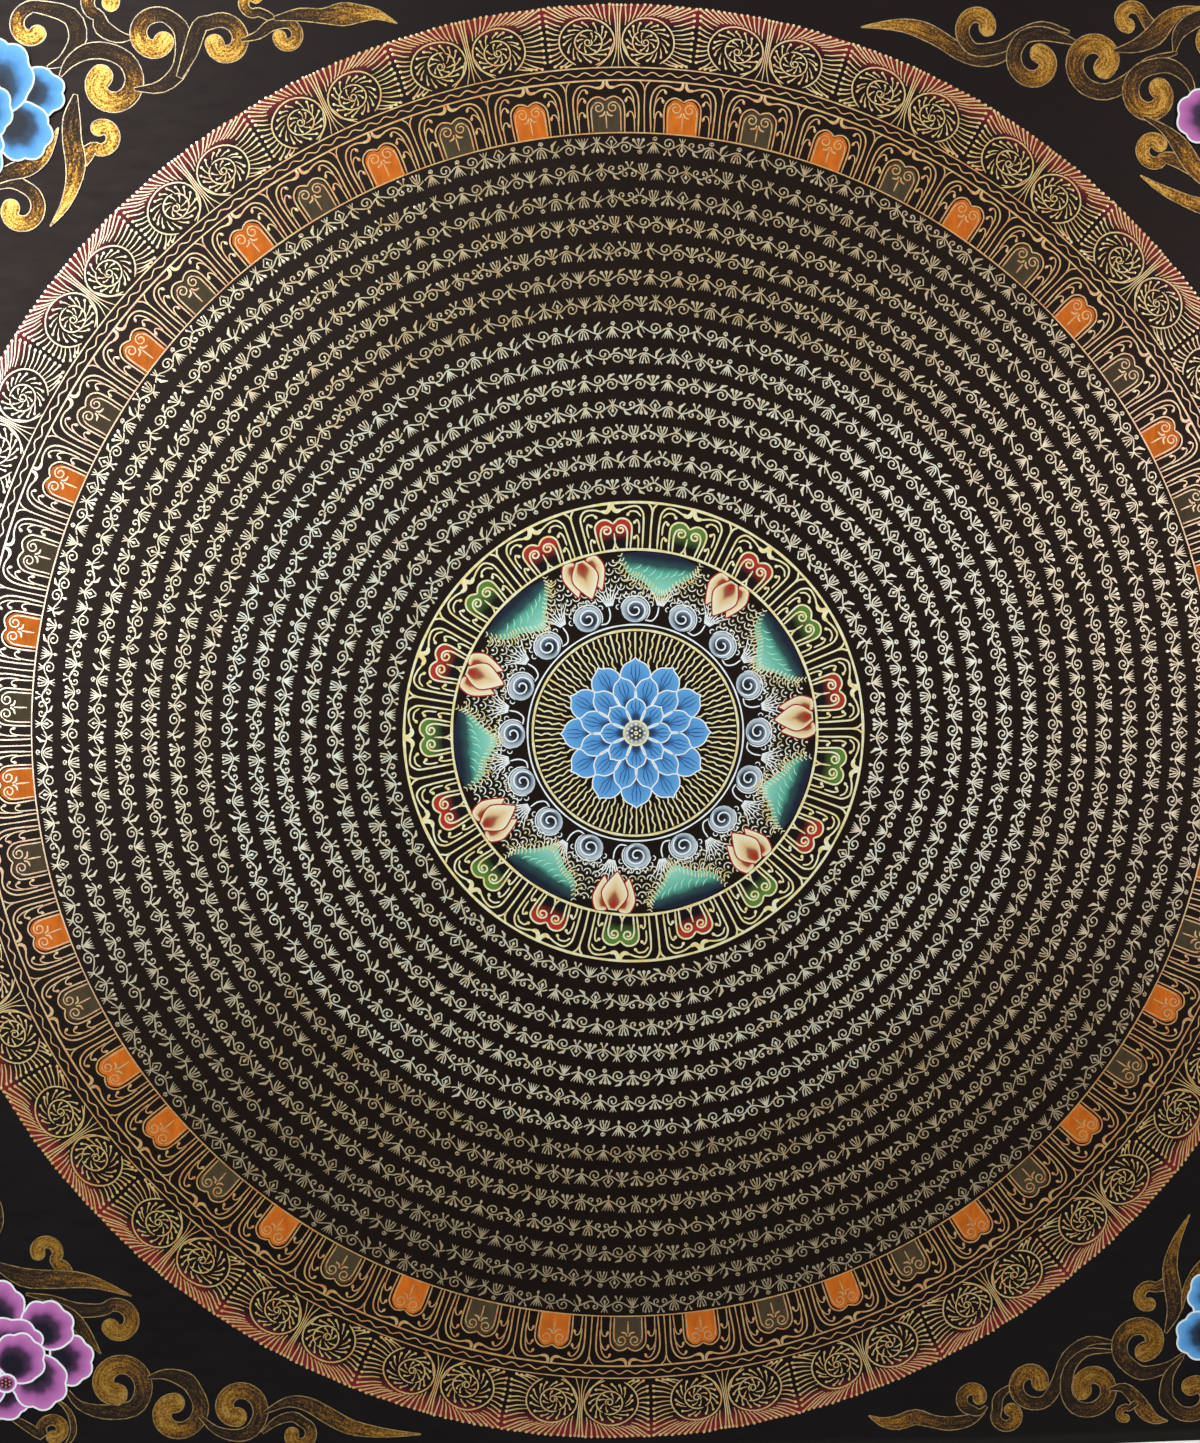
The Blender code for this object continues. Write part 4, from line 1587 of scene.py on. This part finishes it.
BLUE_FOOT = outer_petals(80, 35, -10, -55, 240) + [
    (-24, 30, 170, 45, 25), (-27, -8, 182, 54, 25), (0, 12, 112, 58, 30), (-2, -14, 228, 52, 28),
    (8, 6, 30, 48, 28), (8, -6, -50, 46, 27), (6, 0, 176, 40, 25)]
FLOWERS = (("blue_peony_top", (-630, 608), BLUE_TOP, BLUE_PETAL),
           ("pink_peony_top", (634, 616), PINK_TOP, PINK_PETAL),
           ("pink_peony_foot", (-628, -622), PINK_FOOT, PINK_PETAL),
           ("blue_peony_foot", (634, -618), BLUE_FOOT, BLUE_PETAL))
SEEDS_AT = (-2, -15)         # the seed disc, from the flower's middle
SEED_APART = (1.25, 1.2)     # millimetres, across and up

for number, (name, middle, petals, paint) in enumerate(FLOWERS):
    fields, edges = peony(middle, petals, random.Random(number + 40))
    top = FIELD_TOP + (FLOWER_FOOT + PETAL_STEP * len(petals)) * MM
    seeds = np.array(middle) + SEEDS_AT
    outline = np.array(disc(*seeds, 10, 9, 20)) * GRID
    fields.append(shaded_petal("seed_disc", outline, outline.mean(axis=0), top))
    edges.append(raised(closed(outline, 0.7), top / MM))
    for piece in fields:
        piece.materials.append(paint)
    on_cloth(name, joined(fields))
    drawn(name + "_edges", edges, WHITE_LINE, rise=0.04)
    dots = []
    for k in range(9):
        q, r = k // 3 - 1, k % 3 - 1
        across, up = q * SEED_APART[0], r * SEED_APART[1] + q % 2 * 0.6
        dots.append(stroke([seeds * GRID + (across - 0.1, up), seeds * GRID + (across, up)], 0.4, drop=0.8))
    drawn(name + "_seeds", dots, SEED_PINK, rise=0.2, lift=top)

# %% [markdown]
# ## The camera
# The camera stands where the photograph was taken from: about 0.4 m in front of the middle, a touch
# left and high, with a short lens. Its frame is narrower than the cloth, so the sides of the circle
# run out of the picture.

# %% The camera
SENSOR = 36.0                # millimetres, along the picture's long side
FRAME_HIGH = 1443            # the picture's long side, in pixels
FOCUS = 1200.0               # lens to sensor, in picture pixels
MIDDLE_SEEN = (35.9, -11.6)  # the mandala's middle, in pixels right of and above the picture's centre
PIXEL = CLOTH / 1480         # one picture pixel at the mandala's middle
TILT = (2.38, -1.65)         # how the cloth's face turns from the camera: sideways, upwards
ROLL = 0.5


def photo_camera():
    camera = in_scene("camera", bpy.data.cameras.new("camera"))
    camera.data.sensor_width = SENSOR
    camera.data.lens = SENSOR * FOCUS / FRAME_HIGH
    out = Vector((sine(TILT[0]), sine(TILT[1]), 0.0))
    out.z = math.sqrt(1 - out.x**2 - out.y**2)
    right = (Vector((1, 0, 0)) - out * out.x).normalized()
    up = out.cross(right)
    across = right * cosine(ROLL) + up * sine(ROLL)
    upward = up * cosine(ROLL) - right * sine(ROLL)
    # rows: the cloth's own right, back and up, seen in the camera's axes
    turn = Matrix((across, -out, upward))
    seen = Vector((*MIDDLE_SEEN, -FOCUS)) * PIXEL
    place = Vector((0, 0, MIDDLE)) - turn @ seen
    camera.matrix_world = Matrix.Translation(place) @ turn.to_4x4()
    bpy.context.scene.camera = camera
    print("camera at", [round(v, 3) for v in place])


photo_camera()

# %% [markdown]
# ## Light
# The photograph has cool daylight from the left and weaker, whiter light from the right, so the gold shines
# most towards the sides of the cloth and least at its foot. Soft boxes stand in for windows and lamps,
# because their size sets how wide the shine is: three of daylight at the left, two at the right, a dim one
# above, and one behind the cloth that lights the floor alone.

# %% Soft boxes
DAYLIGHT = (0.79, 0.92, 1.0)
WHITE = (1, 1, 1)
LEFT_HALF, RIGHT_HALF = (-0.1, 0, MIDDLE), (0.1, 0, MIDDLE)  # what a box is turned towards
FLOOR_BEHIND = (0.1, 1.0, -1.4)
# name, place, aim, size in metres, watts and colour
SOFT_BOXES = (("left_box", (-0.73, -0.62, -0.02), LEFT_HALF, (0.45, 0.6), 4.9, DAYLIGHT),
              ("high_left_box", (-0.55, -0.55, 0.45), LEFT_HALF, (0.5, 0.5), 5.8, DAYLIGHT),
              ("near_left_box", (-0.38, -0.62, -0.2), LEFT_HALF, (0.35, 0.6), 0.5, DAYLIGHT),
              ("top_box", (0.2, -0.6, 0.46), RIGHT_HALF, (0.5, 0.3), 0.55, WHITE),
              ("right_box", (0.6, -1.2, -0.16), RIGHT_HALF, (0.6, 0.7), 1.3, WHITE),
              ("far_right_box", (0.95, -0.7, 0.06), RIGHT_HALF, (0.45, 0.7), 3.8, WHITE),
              ("back_box", (0.5, 1.7, 0.6), FLOOR_BEHIND, (1.2, 1.2), 55, WHITE))

for name, place, aim, size, watts, colour in SOFT_BOXES:
    lamp = bpy.data.lights.new(name, "AREA")
    lamp.color = colour
    lamp.shape = "RECTANGLE"
    lamp.size, lamp.size_y = size
    lamp.energy = watts
    box = in_scene(name, lamp)
    box.location = place
    box.rotation_euler = (Vector(aim) - Vector(place)).to_track_quat("-Z", "Y").to_euler()
print("soft boxes:", len(SOFT_BOXES), "with", sum(box[4] for box in SOFT_BOXES), "watts in all")

# %% [markdown]
# ## Floor and room
# The floor lies well below the cloth and the room is plain and pale, so that nothing colours the gold.

# %% Floor and room
FLOOR_BELOW = 0.9
FLOOR_HALF = 6.0
ROOM_LIGHT = 0.1


def floor():
    ground = in_scene("floor", grid_mesh("floor", 1, FLOOR_HALF))
    ground.location.z = -CLOTH - FLOOR_BELOW
    ground.data.materials.append(flat_paint("pale_floor", (214, 214, 212), 0.8, 0.97))


floor()
world = bpy.data.worlds.new("room")
world.use_nodes = True
background = world.node_tree.nodes["Background"]
background.inputs["Color"].default_value = linear(240, 238, 234)
background.inputs["Strength"].default_value = ROOM_LIGHT
bpy.context.scene.world = world
bpy.context.scene.view_settings.view_transform = "Standard"
print("floor at", round(-CLOTH - FLOOR_BELOW, 2))
